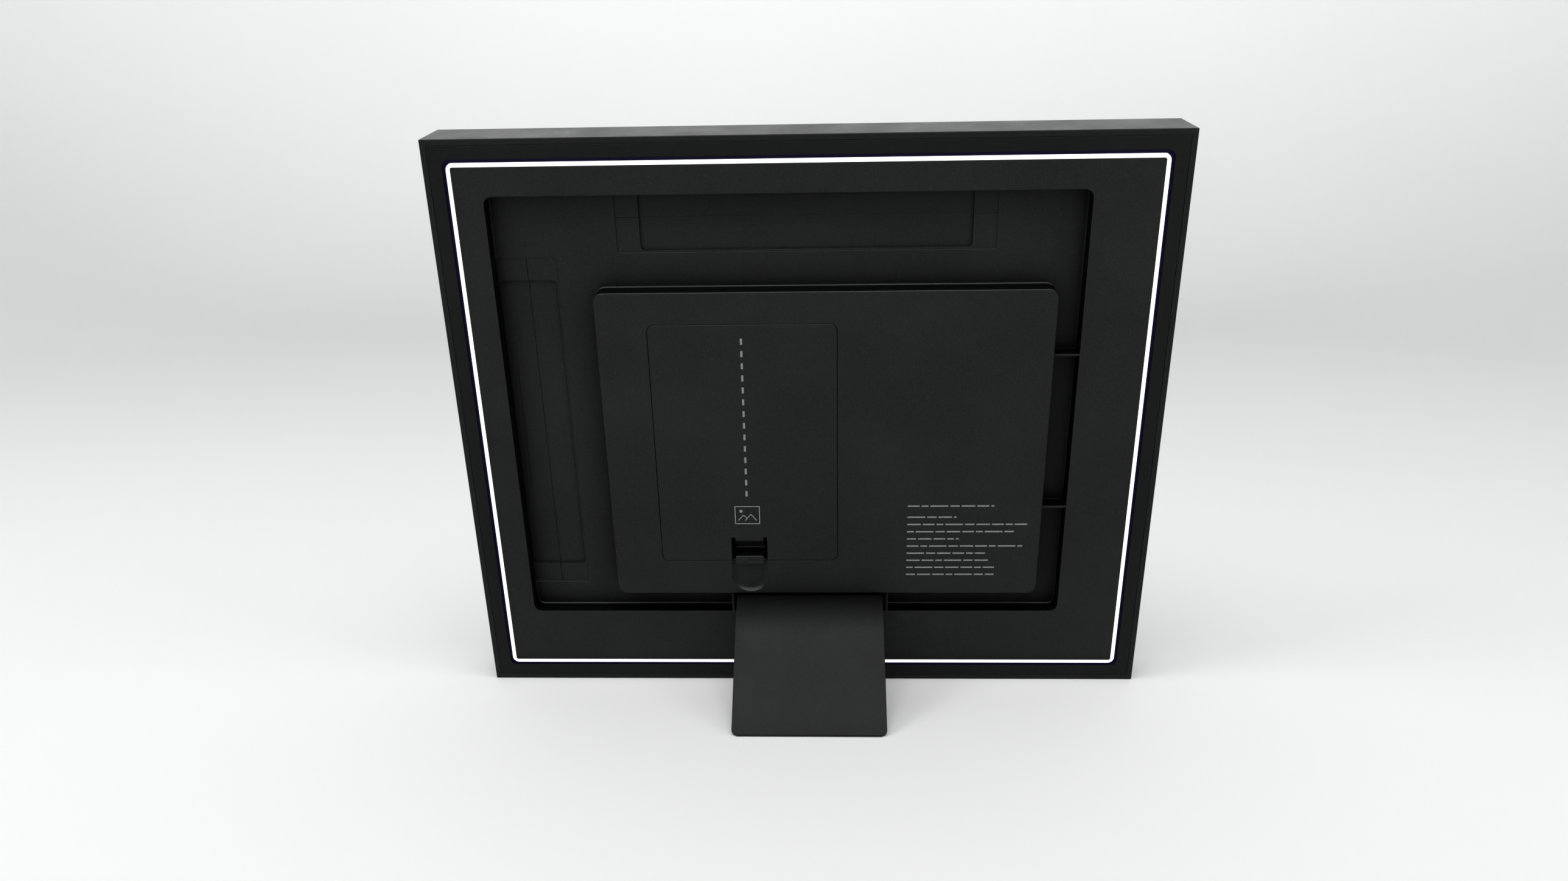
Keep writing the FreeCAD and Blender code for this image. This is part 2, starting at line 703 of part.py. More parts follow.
def pad_blocks():
    """Extra floor thickness behind the two pads."""
    depth = RECESS_FLOOR - POCKET_STEP - COVER_WALL
    top = box(-PAD_L / 2, PAD_L / 2, depth, RECESS_FLOOR - OVER, RECESS_Z1 - PAD_W, RECESS_Z1)
    side = box(RECESS_X1 - PAD_W, RECESS_X1, depth, RECESS_FLOOR - OVER,
               FRAME_MID_Z - PAD_L / 2, FRAME_MID_Z + PAD_L / 2)
    return [top, side]


def stand_ribs():
    """Thin ribs across the narrow parts of the recess, two below the housing and two beside it."""
    ribs = []
    top = -RIB_SINK
    for side in (-1, 1):
        offset = side * RIB_SPACING / 2
        ribs.append(box(offset - RIB_T / 2, offset + RIB_T / 2, RECESS_FLOOR - OVER, top,
                        RECESS_Z0 - OVER, HOUSING_Z0 + OVER))
        z = FRAME_MID_Z + offset
        ribs.append(box(RECESS_X0 - OVER, HOUSING_X0 + OVER, RECESS_FLOOR - OVER, top,
                        z - RIB_T / 2, z + RIB_T / 2))
    return ribs


def slot_box(grow, y0, y1):
    """The stand's slot, grown by an allowance on every side."""
    return box(-STAND_W / 2 - grow, STAND_W / 2 + grow, y0, y1, STAND_TOP - STAND_T - grow,
               STAND_TOP + grow)


def stand_socket():
    """The closed box behind the stand's slot."""
    return slot_box(SOCKET_WALL, SOCKET_FLOOR - SOCKET_END_T, RECESS_FLOOR - OVER)


def port_bosses():
    """Two posts inside the housing that the small port board is screwed to."""
    return [rod(x, PORT_BOARD_REAR, COVER_INSIDE + OVER / 2, PORT_SCREW_Z, BOSS_R)
            for x in PORT_SCREW_X]


def port_openings():
    """The holes in the housing's lower wall for the charging plug and the power button."""
    half_w = PORT_W / 2 + PORT_CLEAR
    half_t = PORT_T / 2 + PORT_CLEAR
    plug = box(PORT_X - half_w, PORT_X + half_w, PORT_Y - half_t, PORT_Y + half_t,
               HOUSING_Z0 - OVER, HOUSING_Z0 + COVER_WALL + OVER)
    plug = plug.makeFillet(PORT_T / 2, edges_along(plug, Z_AXIS))
    button = Part.makeCylinder(BUTTON_R + BUTTON_CLEAR, COVER_WALL + 2 * OVER,
                               V(BUTTON_X, PORT_Y, HOUSING_Z0 - OVER), Z_AXIS)
    holes = [screw_hole(x, PORT_SCREW_Z, PORT_BOARD_REAR - OVER, COVER_INSIDE - OVER / 2)
             for x in PORT_SCREW_X]
    return [plug, button] + holes


def tail_slot():
    """The slot in the trough floor that the light strip's tail goes through."""
    half = TAIL_W / 2 + TAIL_CLEAR
    return box(TAIL_X - half, TAIL_X + half, FLANGE_FRONT - OVER, TROUGH_FLOOR + OVER,
               TROUGH_MID - TAIL_CLEAR, TROUGH_MID + FLEX_T + TAIL_CLEAR)


def rear_cover():
    """The moulded rear cover: rim, recess, housing, compartment, slots, pads and ribs."""
    cover = fuse_all([cover_block()] + pad_blocks())
    cover = cut_all(cover, [recess_ring(), housing_cavity()])
    cover = fuse_all([cover, compartment_tub(), stand_socket()] + stand_ribs() + port_bosses())
    tools = [door_seat(), compartment_well(), latch_pocket(), finger_scoop()]
    tools += tongue_pockets() + bracket_pads() + port_openings()
    tools += [tail_slot(), slot_box(STAND_CLEAR, SOCKET_FLOOR, 0)]
    tools += [screw_hole(x, z, FLANGE_FRONT - OVER, OVER) for x, z in COVER_SCREWS]
    return cut_all(cover, tools)


# ---------------------------------------------------------------- door and latch

def compartment_door():
    """The door, with its latch notch, two hinge tongues and the latch's spring root."""
    half = DOOR_W / 2
    panel = slab(DOOR_X - half, DOOR_X + half, DOOR_INSIDE, HOUSING_FACE, DOOR_BOTTOM, DOOR_TOP,
                 DOOR_CORNER)
    panel = panel.makeFillet(DOOR_EDGE, edges_at(panel, HOUSING_FACE))
    panel = cut_all(panel, latch_notch())
    tongues = [door_tongue(DOOR_X + side * TONGUE_OFFSET) for side in (-1, 1)]
    return fuse_all([panel] + tongues + latch_root())


def latch_notch():
    """The notch at the door's lower edge, with a round-topped slit up each side."""
    notch = box(DOOR_X - NOTCH_W / 2, DOOR_X + NOTCH_W / 2, -OVER, HOUSING_FACE + OVER,
                DOOR_BOTTOM - OVER, DOOR_BOTTOM + NOTCH_H)
    slits = []
    for side in (-1, 1):
        x = DOOR_X + side * (NOTCH_W - SLIT_W) / 2
        slits.append(slab(x - SLIT_W / 2, x + SLIT_W / 2, -OVER, HOUSING_FACE + OVER,
                          DOOR_BOTTOM - SLIT_W, DOOR_BOTTOM + SLIT_H, SLIT_W / 2 - LAP))
    return [notch] + slits


def door_tongue(x):
    """A tongue that reaches behind the housing face above the door."""
    y1 = COVER_INSIDE - TONGUE_DROP
    y0 = y1 - TONGUE_T
    low = DOOR_TOP - TONGUE_REACH
    tongue = box(x - TONGUE_W / 2, x + TONGUE_W / 2, y0, y1, low, DOOR_TOP + TONGUE_LIFT)
    root = box(x - TONGUE_W / 2, x + TONGUE_W / 2, y0, DOOR_INSIDE + LAP, low,
               DOOR_TOP - DOOR_LEDGE - TONGUE_ROOT_CLEAR)
    return tongue.fuse(root)


def latch_root():
    """The inner leg of the U-shaped spring, moulded under the door above the notch."""
    x0 = DOOR_X - TAB_W / 2
    x1 = DOOR_X + TAB_W / 2
    y0 = LATCH_PIVOT_Y - ROOT_WEB_T / 2
    leg = box(x0, x1, y0, DOOR_INSIDE + LAP, ROOT_TOP - ROOT_LEG_T, ROOT_TOP)
    web = box(x0, x1, y0, y0 + ROOT_WEB_T, LATCH_PIVOT_Z + LATCH_PIVOT_R + LAP, ROOT_TOP)
    return [leg, web]


def door_latch():
    """The outer leg of the spring with its thumb tab and a raised triangle."""
    x0 = DOOR_X - TAB_W / 2
    pivot = Part.makeCylinder(LATCH_PIVOT_R, TAB_W, V(x0, LATCH_PIVOT_Y, LATCH_PIVOT_Z), X_AXIS)
    tab = slab(x0, x0 + TAB_W, TAB_FRONT, TAB_FRONT + TAB_T, TAB_LOW, TAB_LOW + TAB_H, TAB_CORNER)
    tab = tab.makeFillet(TAB_EDGE, edges_at(tab, TAB_FRONT + TAB_T))
    return fuse_all([pivot, latch_leg(), tab, tab_mark()])


def latch_leg():
    """The flat leg that runs from the spring's bend out to the back of the tab."""
    half = LATCH_LEG_T / 2
    high = TAB_LOW + TAB_H - TAB_CORNER / 2
    corners = [V(0, LATCH_PIVOT_Y, LATCH_PIVOT_Z + half), V(0, TAB_FRONT + TAB_T / 2, high),
               V(0, TAB_FRONT + TAB_T / 2, high - LATCH_LEG_T),
               V(0, LATCH_PIVOT_Y, LATCH_PIVOT_Z - half)]
    width = TAB_W - 2 * TAB_CORNER
    leg = Part.Face(closed_wire(corners)).extrude(V(width, 0, 0))
    leg.translate(V(DOOR_X - width / 2, 0, 0))
    return leg


def tab_mark():
    """A small raised triangle in outline on the tab."""
    outer = tab_triangle(TAB_MARK_W / 2)
    return outer.cut(tab_triangle(TAB_MARK_W / 2 - TAB_MARK_LINE))


def tab_triangle(size):
    """A flat triangle, point upward, half as high as it is wide."""
    y = TAB_FRONT + TAB_T - LAP
    z = TAB_LOW + TAB_H / 2
    corners = [V(DOOR_X - size, y, z - size / 2), V(DOOR_X + size, y, z - size / 2),
               V(DOOR_X, y, z + size / 2)]
    return Part.Face(closed_wire(corners)).extrude(V(0, LAP + TAB_MARK_T, 0))


def closed_wire(points):
    """Straight edges round a closed run of points."""
    return Part.makePolygon(points + points[:1])


# ---------------------------------------------------------------- stand

def on_bend(radius, angle):
    """A point of the stand's bend, its angle counted from the straight root."""
    centre = V(0, STAND_BEND_START, STAND_TOP - STAND_BEND_R)
    return centre + V(0, radius * math.sin(angle), radius * math.cos(angle))


def foot_point(radius):
    """Where one face of the flat leg meets the top of the rubber strip under the foot."""
    turn = math.radians(STAND_BEND_DEG)
    lean = math.radians(LEAN_DEG)
    start = on_bend(radius, turn)
    height = start.z * math.cos(lean) - start.y * math.sin(lean)
    run = (height - FOOT_STRIP_T) / math.sin(turn + lean)
    return start + V(0, math.cos(turn), -math.sin(turn)) * run


def stand_profile():
    """The stand's side view: a straight root, a gentle bend and a flat leg to the table."""
    turn = math.radians(STAND_BEND_DEG)
    outer = STAND_BEND_R
    inner = STAND_BEND_R - STAND_T
    root_top = V(0, STAND_ROOT, STAND_TOP)
    root_bottom = V(0, STAND_ROOT, STAND_TOP - STAND_T)
    edges = [Part.LineSegment(root_top, on_bend(outer, 0)).toShape(),
             Part.Arc(on_bend(outer, 0), on_bend(outer, turn / 2), on_bend(outer, turn)).toShape(),
             Part.LineSegment(on_bend(outer, turn), foot_point(outer)).toShape(),
             Part.LineSegment(foot_point(outer), foot_point(inner)).toShape(),
             Part.LineSegment(foot_point(inner), on_bend(inner, turn)).toShape(),
             Part.Arc(on_bend(inner, turn), on_bend(inner, turn / 2), on_bend(inner, 0)).toShape(),
             Part.LineSegment(on_bend(inner, 0), root_bottom).toShape(),
             Part.LineSegment(root_bottom, root_top).toShape()]
    return Part.Wire(edges)


def widened(wire, width):
    """A side view drawn out to a width, centred on the frame."""
    solid = Part.Face(wire).extrude(V(width, 0, 0))
    solid.translate(V(-width / 2, 0, 0))
    return solid


def stand():
    """The bent plate, with its two lower corners rounded and its edges softened."""
    plate = widened(stand_profile(), STAND_W)
    foot = foot_point(STAND_BEND_R)
    corners = [edge for edge in plate.Edges
               if abs(edge.BoundBox.XMin - edge.BoundBox.XMax) < 1e-4
               and edge.BoundBox.YMin > foot.y - 2 * STAND_T]
    plate = plate.makeFillet(STAND_CORNER, corners)
    rim = [edge for edge in plate.Edges if on_upper_face(edge)]
    return plate.makeFillet(STAND_EDGE, rim)


def on_upper_face(edge):
    """Whether an edge bounds the flat leg's upper face, the line where the bend ends left out."""
    turn = math.radians(STAND_BEND_DEG)
    bend_end = on_bend(STAND_BEND_R, turn)
    normal = V(0, math.sin(turn), math.cos(turn))
    ends = [edge.valueAt(edge.FirstParameter), edge.valueAt(edge.LastParameter)]
    flat = all(abs((point - bend_end).dot(normal)) < 0.01 for point in ends)
    return flat and not all(abs(point.y - bend_end.y) < 0.01 for point in ends)


def foot_strip():
    """The rubber strip that the stand's foot rests on."""
    lean = math.radians(LEAN_DEG)
    down = V(0, math.sin(lean), -math.cos(lean)) * FOOT_STRIP_T
    near = foot_point(STAND_BEND_R - STAND_T)
    far = foot_point(STAND_BEND_R)
    inward = (near - far).normalize() * FOOT_STRIP_INSET
    wire = closed_wire([near - inward, far + inward, far + inward + down, near - inward + down])
    return widened(wire, STAND_W - 2 * STAND_CORNER - 2 * FOOT_STRIP_INSET)


# ---------------------------------------------------------------- battery and electronics

def battery_pack():
    """The flat rechargeable pack."""
    y0 = COMPARTMENT_FLOOR + BATTERY_REST
    pack = slab(DOOR_X - BATTERY_W / 2, DOOR_X + BATTERY_W / 2, y0, y0 + BATTERY_T, BATTERY_BOTTOM,
                BATTERY_BOTTOM + BATTERY_H, BATTERY_CORNER)
    return pack.makeFillet(BATTERY_EDGE, edges_at(pack, y0 + BATTERY_T))


def battery_cushion():
    """The foam pad on the inside of the door."""
    return centred_box(DOOR_X, BATTERY_W - 2 * CUSHION_INSET, DOOR_INSIDE - CUSHION_T, DOOR_INSIDE,
                       BATTERY_BOTTOM + BATTERY_H / 2, BATTERY_H - 2 * CUSHION_INSET)


def battery_contacts():
    """Three sprung blades between the compartment's upper wall and the pack."""
    return group([contact_blade(DOOR_X + CONTACT_PITCH * i) for i in (-1, 0, 1)])


def contact_blade(x):
    """One blade: a flat back on the wall and an arm that springs down to the pack."""
    x0 = x - CONTACT_W / 2
    y0 = COMPARTMENT_FLOOR + CONTACT_RISE
    wall_z = DOOR_TOP - DOOR_LEDGE
    root_z = wall_z - CONTACT_BACK_T
    pack_z = BATTERY_BOTTOM + BATTERY_H
    back = box(x0, x0 + CONTACT_W, y0, y0 + CONTACT_BACK_L, root_z, wall_z)
    tip_y = y0 + CONTACT_ARM_L
    corners = [V(x0, y0, root_z), V(x0, tip_y, pack_z), V(x0, tip_y + CONTACT_ARM_T, pack_z),
               V(x0, y0 + CONTACT_ARM_T, root_z)]
    return back.fuse(Part.Face(closed_wire(corners)).extrude(V(CONTACT_W, 0, 0)))


HOLE_X = BOARD_W / 2 - BOARD_HOLE_INSET
HOLE_Z = BOARD_H / 2 - BOARD_HOLE_INSET
BOARD_HOLES = [(BOARD_X + a * HOLE_X, BOARD_BOTTOM + BOARD_H / 2 + b * HOLE_Z)
               for a in (-1, 1) for b in (-1, 1)]


def main_board():
    """The circuit board with its connectors and larger parts soldered on."""
    board = box(BOARD_X - BOARD_W / 2, BOARD_X + BOARD_W / 2, BOARD_FRONT, BOARD_REAR, BOARD_BOTTOM,
                BOARD_BOTTOM + BOARD_H)
    board = board.makeFillet(BOARD_CORNER, edges_along(board, Y_AXIS))
    processor = chip(PROCESSOR_DX, PROCESSOR_DZ, 22, 22, PROCESSOR_T)
    memory = [chip(14, dz, 12, 14, 1.2) for dz in (24, 42)]
    coils = [chip(dx, 80, 9, 9, 4.2) for dx in (-34, -20)]
    converter = chip(30, 70, 8, 8, 2.0)
    battery_socket = chip(30, 110, 10, 26, 4.0)
    card_socket = chip(-30, 120, 16, 8, 5.0)
    flex_socket = chip(-6, 132, 22, 6, 3.5)
    sockets = [battery_socket, card_socket, flex_socket]
    board = fuse_all([board, processor, converter] + memory + coils + sockets)
    return cut_all(board, [screw_hole(x, z, BOARD_FRONT - OVER, BOARD_REAR + OVER)
                           for x, z in BOARD_HOLES])


def chip(dx, dz, width, height, thick):
    """One part on the board, placed from the middle of the board's lower edge."""
    return centred_box(BOARD_X + dx, width, BOARD_REAR - LAP, BOARD_REAR + thick, BOARD_BOTTOM + dz,
                       height)


def board_standoffs():
    """Four spacers between the chassis and the board."""
    return group([rod(x, CHASSIS_REAR, BOARD_FRONT, z, STANDOFF_R).cut(
        screw_hole(x, z, CHASSIS_REAR - OVER, BOARD_FRONT + OVER)) for x, z in BOARD_HOLES])


def heat_spreader():
    """A finned aluminium plate on the processor."""
    x = BOARD_X + PROCESSOR_DX
    z = BOARD_BOTTOM + PROCESSOR_DZ
    y0 = BOARD_REAR + PROCESSOR_T
    y1 = y0 + SPREADER_T
    base = centred_box(x, SPREADER_SIZE, y0, y1, z, SPREADER_SIZE)
    fins = [centred_box(x + FIN_PITCH * i, FIN_T, y1 - LAP, y0 + SPREADER_H, z, SPREADER_SIZE)
            for i in range(-4, 5)]
    return fuse_all([base] + fins)


def wifi_module():
    """The radio module: a small carrier with a pressed metal can on it."""
    x = BOARD_X + RADIO_DX
    z = BOARD_BOTTOM + RADIO_DZ
    can_y = BOARD_REAR + CARRIER_T
    carrier = centred_box(x, 20, BOARD_REAR, can_y, z, 16)
    can = centred_box(x, 16, can_y, can_y + CAN_T, z, 13)
    return carrier.fuse(can.makeFillet(0.5, edges_at(can, can_y + CAN_T)))


def wifi_antenna():
    """The thin aerial stuck inside the housing's face."""
    return centred_box(BOARD_X + RADIO_DX, 42, COVER_INSIDE - AERIAL_T, COVER_INSIDE, HOUSING_Z1 - 14,
                       9)


def port_board():
    """The small board along the housing's lower wall, with the button's switch."""
    x = (PORT_X + BUTTON_X) / 2
    board = box(x - PORT_BOARD_W / 2, x + PORT_BOARD_W / 2, PORT_BOARD_REAR - PORT_BOARD_T,
                PORT_BOARD_REAR, PORT_BOARD_Z0, PORT_BOARD_Z0 + PORT_BOARD_H)
    switch = centred_box(BUTTON_X, SWITCH_W, PORT_BOARD_REAR - LAP, PORT_Y + SWITCH_H / 2,
                         BUTTON_SEAT + SWITCH_H / 2, SWITCH_H)
    holes = [screw_hole(px, PORT_SCREW_Z, PORT_BOARD_REAR - PORT_BOARD_T - OVER, PORT_BOARD_REAR + OVER)
             for px in PORT_SCREW_X]
    return cut_all(board.fuse(switch), holes)


def charge_port():
    """The oval metal charging socket with its tongue."""
    mouth_z = HOUSING_Z0 + PORT_SETBACK
    end_z = mouth_z + PORT_L
    shell = oval_bar(0, mouth_z, end_z)
    hollow = oval_bar(PORT_SHELL_T, mouth_z - OVER, end_z - PORT_BACK_T)
    tongue = box(PORT_X - PORT_TONGUE_W / 2, PORT_X + PORT_TONGUE_W / 2, PORT_Y - PORT_TONGUE_T / 2,
                 PORT_Y + PORT_TONGUE_T / 2, HOUSING_Z0 + PORT_TONGUE_SETBACK, HOUSING_Z0 + PORT_L)
    return shell.cut(hollow).fuse(tongue)


def oval_bar(inset, z0, z1):
    """An upright bar of the socket's oval outline, shrunk by an inset."""
    half_w = PORT_W / 2 - inset
    half_t = PORT_T / 2 - inset
    bar = box(PORT_X - half_w, PORT_X + half_w, PORT_Y - half_t, PORT_Y + half_t, z0, z1)
    return bar.makeFillet(half_t * 0.98, edges_along(bar, Z_AXIS))


def power_button():
    """The round push button through the housing's lower wall, with its collar and plunger."""
    stem_z0 = HOUSING_Z0 - BUTTON_PROUD
    collar_z0 = HOUSING_Z0 + COVER_WALL + COLLAR_GAP
    collar_z1 = collar_z0 + COLLAR_T
    stem = Part.makeCylinder(BUTTON_R, collar_z1 - stem_z0, V(BUTTON_X, PORT_Y, stem_z0), Z_AXIS)
    bottom = [edge for edge in stem.Edges if edge.BoundBox.ZMax < stem_z0 + LAP]
    stem = stem.makeFillet(BUTTON_EDGE, bottom)
    reach = BUTTON_R + COLLAR_REACH
    collar = box(BUTTON_X - reach, BUTTON_X + reach, PORT_Y - reach, PORT_Y + BUTTON_R, collar_z0,
                 collar_z1)
    half = PLUNGER_W / 2
    plunger = box(BUTTON_X - half, BUTTON_X + half, PORT_BOARD_REAR + PLUNGER_CLEAR, PORT_Y + half,
                  collar_z1 - LAP, BUTTON_SEAT - BUTTON_TRAVEL - SWITCH_GAP)
    return fuse_all([stem, collar, plunger])


def port_flex():
    """The flat cable from the port board to the main board."""
    x0 = BUTTON_X + 0.5
    x1 = x0 + 8.0
    top = PORT_BOARD_Z0 + PORT_BOARD_H
    turn = top + OVER
    front = PORT_BOARD_REAR - PORT_BOARD_T
    lap = box(x0, x1, front - FLEX_T, front, top - 3.0, turn)
    drop = box(x0, x1, BOARD_REAR, front, turn, turn + FLEX_T)
    run = box(x0, x1, BOARD_REAR, BOARD_REAR + FLEX_T, turn, BOARD_BOTTOM + 6.0)
    return fuse_all([lap, drop, run])


def led_tail():
    """The strip's flat tail, through the trough floor and up to the main board."""
    x0 = TAIL_X - TAIL_W / 2
    x1 = TAIL_X + TAIL_W / 2
    drop = box(x0, x1, BOARD_REAR, TROUGH_FLOOR, TROUGH_MID, TROUGH_MID + FLEX_T)
    run = box(x0, x1, BOARD_REAR, BOARD_REAR + FLEX_T, TROUGH_MID, BOARD_BOTTOM + 5.0)
    return fuse_all([drop, run])


# ---------------------------------------------------------------- the whole object

def all_parts():
    """Every node by name, still upright."""
    return {
        "outer_frame": outer_frame(),
        "glazing_gasket": glazing_gasket(),
        "front_glass": front_glass(),
        "mat_board": mat_board(),
        "lcd_cell": lcd_cell(),
        "film_stack": film_stack(),
        "light_guide": light_guide(),
        "backlight_tray": backlight_tray(),
        "panel_brackets": panel_brackets(),
        "chassis_plate": chassis_plate(),
        "chassis_screws": screw_group(CHASSIS_SCREWS, CHASSIS_REAR),
        "display_ribbon": display_ribbon(),
        "rear_bezel": rear_bezel(),
        "light_ring": light_ring(),
        "led_strip": led_strip(),
        "leds": leds(),
        "led_tail": led_tail(),
        "rear_cover": rear_cover(),
        "cover_screws": screw_group(COVER_SCREWS, TROUGH_FLOOR),
        "compartment_door": compartment_door(),
        "battery_cushion": battery_cushion(),
        "door_latch": door_latch(),
        "battery_pack": battery_pack(),
        "battery_contacts": battery_contacts(),
        "main_board": main_board(),
        "board_standoffs": board_standoffs(),
        "board_screws": screw_group(BOARD_HOLES, BOARD_REAR, BOARD_SCREW_LENGTH),
        "heat_spreader": heat_spreader(),
        "wifi_module": wifi_module(),
        "wifi_antenna": wifi_antenna(),
        "port_board": port_board(),
        "port_flex": port_flex(),
        "charge_port": charge_port(),
        "power_button": power_button(),
        "stand": stand(),
        "foot_strip": foot_strip(),
    }


def lean_back(shape):
    """Lean a piece back about the frame's lower rear edge."""
    leaned = shape.copy()
    leaned.rotate(V(0, 0, 0), X_AXIS, -LEAN_DEG)
    return leaned


def main():
    """Lean the pieces, centre the object on the table and write one file per piece."""
    os.makedirs("parts", exist_ok=True)
    leaned = {name: lean_back(shape) for name, shape in all_parts().items()}
    bounds = group(list(leaned.values())).BoundBox
    shift = V(0, -(bounds.YMin + bounds.YMax) / 2, 0)
    for name, shape in leaned.items():
        shape.translate(shift)
        shape.exportStep("parts/" + name + ".step")
        volume = round(shape.Volume / 1000, 2)
        print(name, len(shape.Solids), "solids", volume, "cm3", "valid", shape.isValid())
    print("rear lower edge at y", round(shift.y, 3), "height", round(bounds.ZMax, 2))


main()
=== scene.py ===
import json
import math

import bpy
from mathutils import Matrix, Vector


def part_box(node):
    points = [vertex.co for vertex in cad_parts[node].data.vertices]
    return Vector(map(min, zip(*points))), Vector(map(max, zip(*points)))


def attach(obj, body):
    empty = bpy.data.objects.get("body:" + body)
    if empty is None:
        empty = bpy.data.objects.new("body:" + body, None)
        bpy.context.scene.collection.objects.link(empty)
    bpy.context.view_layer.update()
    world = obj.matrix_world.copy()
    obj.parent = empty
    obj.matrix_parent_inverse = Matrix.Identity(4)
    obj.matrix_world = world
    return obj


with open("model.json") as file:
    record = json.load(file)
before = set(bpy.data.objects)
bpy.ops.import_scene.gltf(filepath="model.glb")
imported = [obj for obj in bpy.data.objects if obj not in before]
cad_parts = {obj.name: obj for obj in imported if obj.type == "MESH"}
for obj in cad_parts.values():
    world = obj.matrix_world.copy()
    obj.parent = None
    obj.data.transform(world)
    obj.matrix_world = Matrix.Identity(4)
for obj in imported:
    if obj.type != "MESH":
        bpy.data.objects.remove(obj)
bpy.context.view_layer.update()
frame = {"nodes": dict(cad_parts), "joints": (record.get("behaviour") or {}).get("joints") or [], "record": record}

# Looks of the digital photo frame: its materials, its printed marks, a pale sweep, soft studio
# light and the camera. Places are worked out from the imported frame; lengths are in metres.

MM = 0.001

# The leaned frame's own directions, from the stand's joint: rearward and up along the frame.
JOINTS = {joint["name"]: joint for joint in frame["joints"]}
ACROSS = Vector((1, 0, 0))
REAR = Vector(JOINTS["stand_pull"]["axis"]).normalized()
UP = ACROSS.cross(REAR)

# Sizes of the CAD model that the marks and the picture sit on, in millimetres.
FRAME_DEPTH = 33.2
HOUSING_FACE = 2.4
FRAME_MIDDLE_Z = 170.65
ACTIVE_H = 270.3

# The lowest rear edge of the frame, which every drawing height and depth is counted from.
FRAME_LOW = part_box("outer_frame")[0]
REAR_EDGE = Vector((0, FRAME_LOW.y + FRAME_DEPTH * MM * REAR.y, 0))

# Camera: its place, the way it looks, the way its right side points, and its lens
CAMERA_PLACE = Vector((-0.010958, 0.661730, 0.309735))
CAMERA_LOOKS = Vector((0.0370833, -0.9751524, -0.2184095))
CAMERA_RIGHT = Vector((-0.9992983, -0.0350349, -0.0132455))
CAMERA_LENS = 26.407
SENSOR_WIDTH = 36.0
CLIP_START = 0.01

# Ridges of the made-up view, far to near: height, swing, waves a metre, crest and mist colours
HILLS = (
    (0.020, 0.055, 5.0, (0.20, 0.25, 0.38, 1), (0.50, 0.44, 0.44, 1)),
    (-0.025, 0.060, 7.0, (0.075, 0.15, 0.18, 1), (0.25, 0.31, 0.27, 1)),
    (-0.075, 0.050, 9.0, (0.018, 0.055, 0.035, 1), (0.05, 0.10, 0.04, 1)),
)

# Surround: its light towards the front and the rear of the frame, and the pale sweep's shape
WORLD_FRONT = 0.46
WORLD_REAR = 0.36
WORLD_FADE = 0.8
WORLD_TINT = (0.985, 0.99, 1.0, 1.0)
SWEEP_FLAT = 1.9
SWEEP_RINGS = (0.0, 0.6, 1.2, SWEEP_FLAT)
SWEEP_BEND = 1.7
SWEEP_TOP = 2.6
SWEEP_STEPS = 14
SWEEP_AROUND = 96

# Printed marks on the housing and the door, in millimetres
MARK_LIFT = 0.02
MARK_THICK = 0.03
RULE_LEFT = -58.7
RULE_TOP = 125.2
RULE_PITCH = 4.9
RULE_LENGTHS = (51, 29, 71, 64, 31, 69, 47, 50, 53, 53)
RULE_WIDTH = 0.9
HEADING_GAP = 2.5
WORD_LENGTHS = (7.0, 4.0, 10.5, 5.5, 8.0)
WORD_GAP = 1.2
STRIPE_X = 36.6
STRIPE_LOW = 132.0
STRIPE_HIGH = 229.0
DASH_PITCH = 7.3
DASH_LENGTH = 3.6
DASH_WIDTH = 1.2
ICON_Z = 119.5
ICON_W = 15.0
ICON_H = 12.0
ICON_LINE = 0.5

# The symbol's two peaks and its sun, in millimetres from its lower corner
ICON_PEAKS = (((2.0, 2.4), (5.4, 6.6), (8.8, 2.4)), ((7.6, 3.9), (9.8, 6.0), (13.0, 2.4)))
ICON_SUN = (11.2, 8.6)
ICON_SUN_R = 1.0


def spot(x, y, z):
    """A place in the frame's own millimetres: across, rearward from the rear edge, up."""
    return REAR_EDGE + (ACROSS * x + REAR * y + UP * z) * MM


# ------------------------------------------------------------------ node graphs

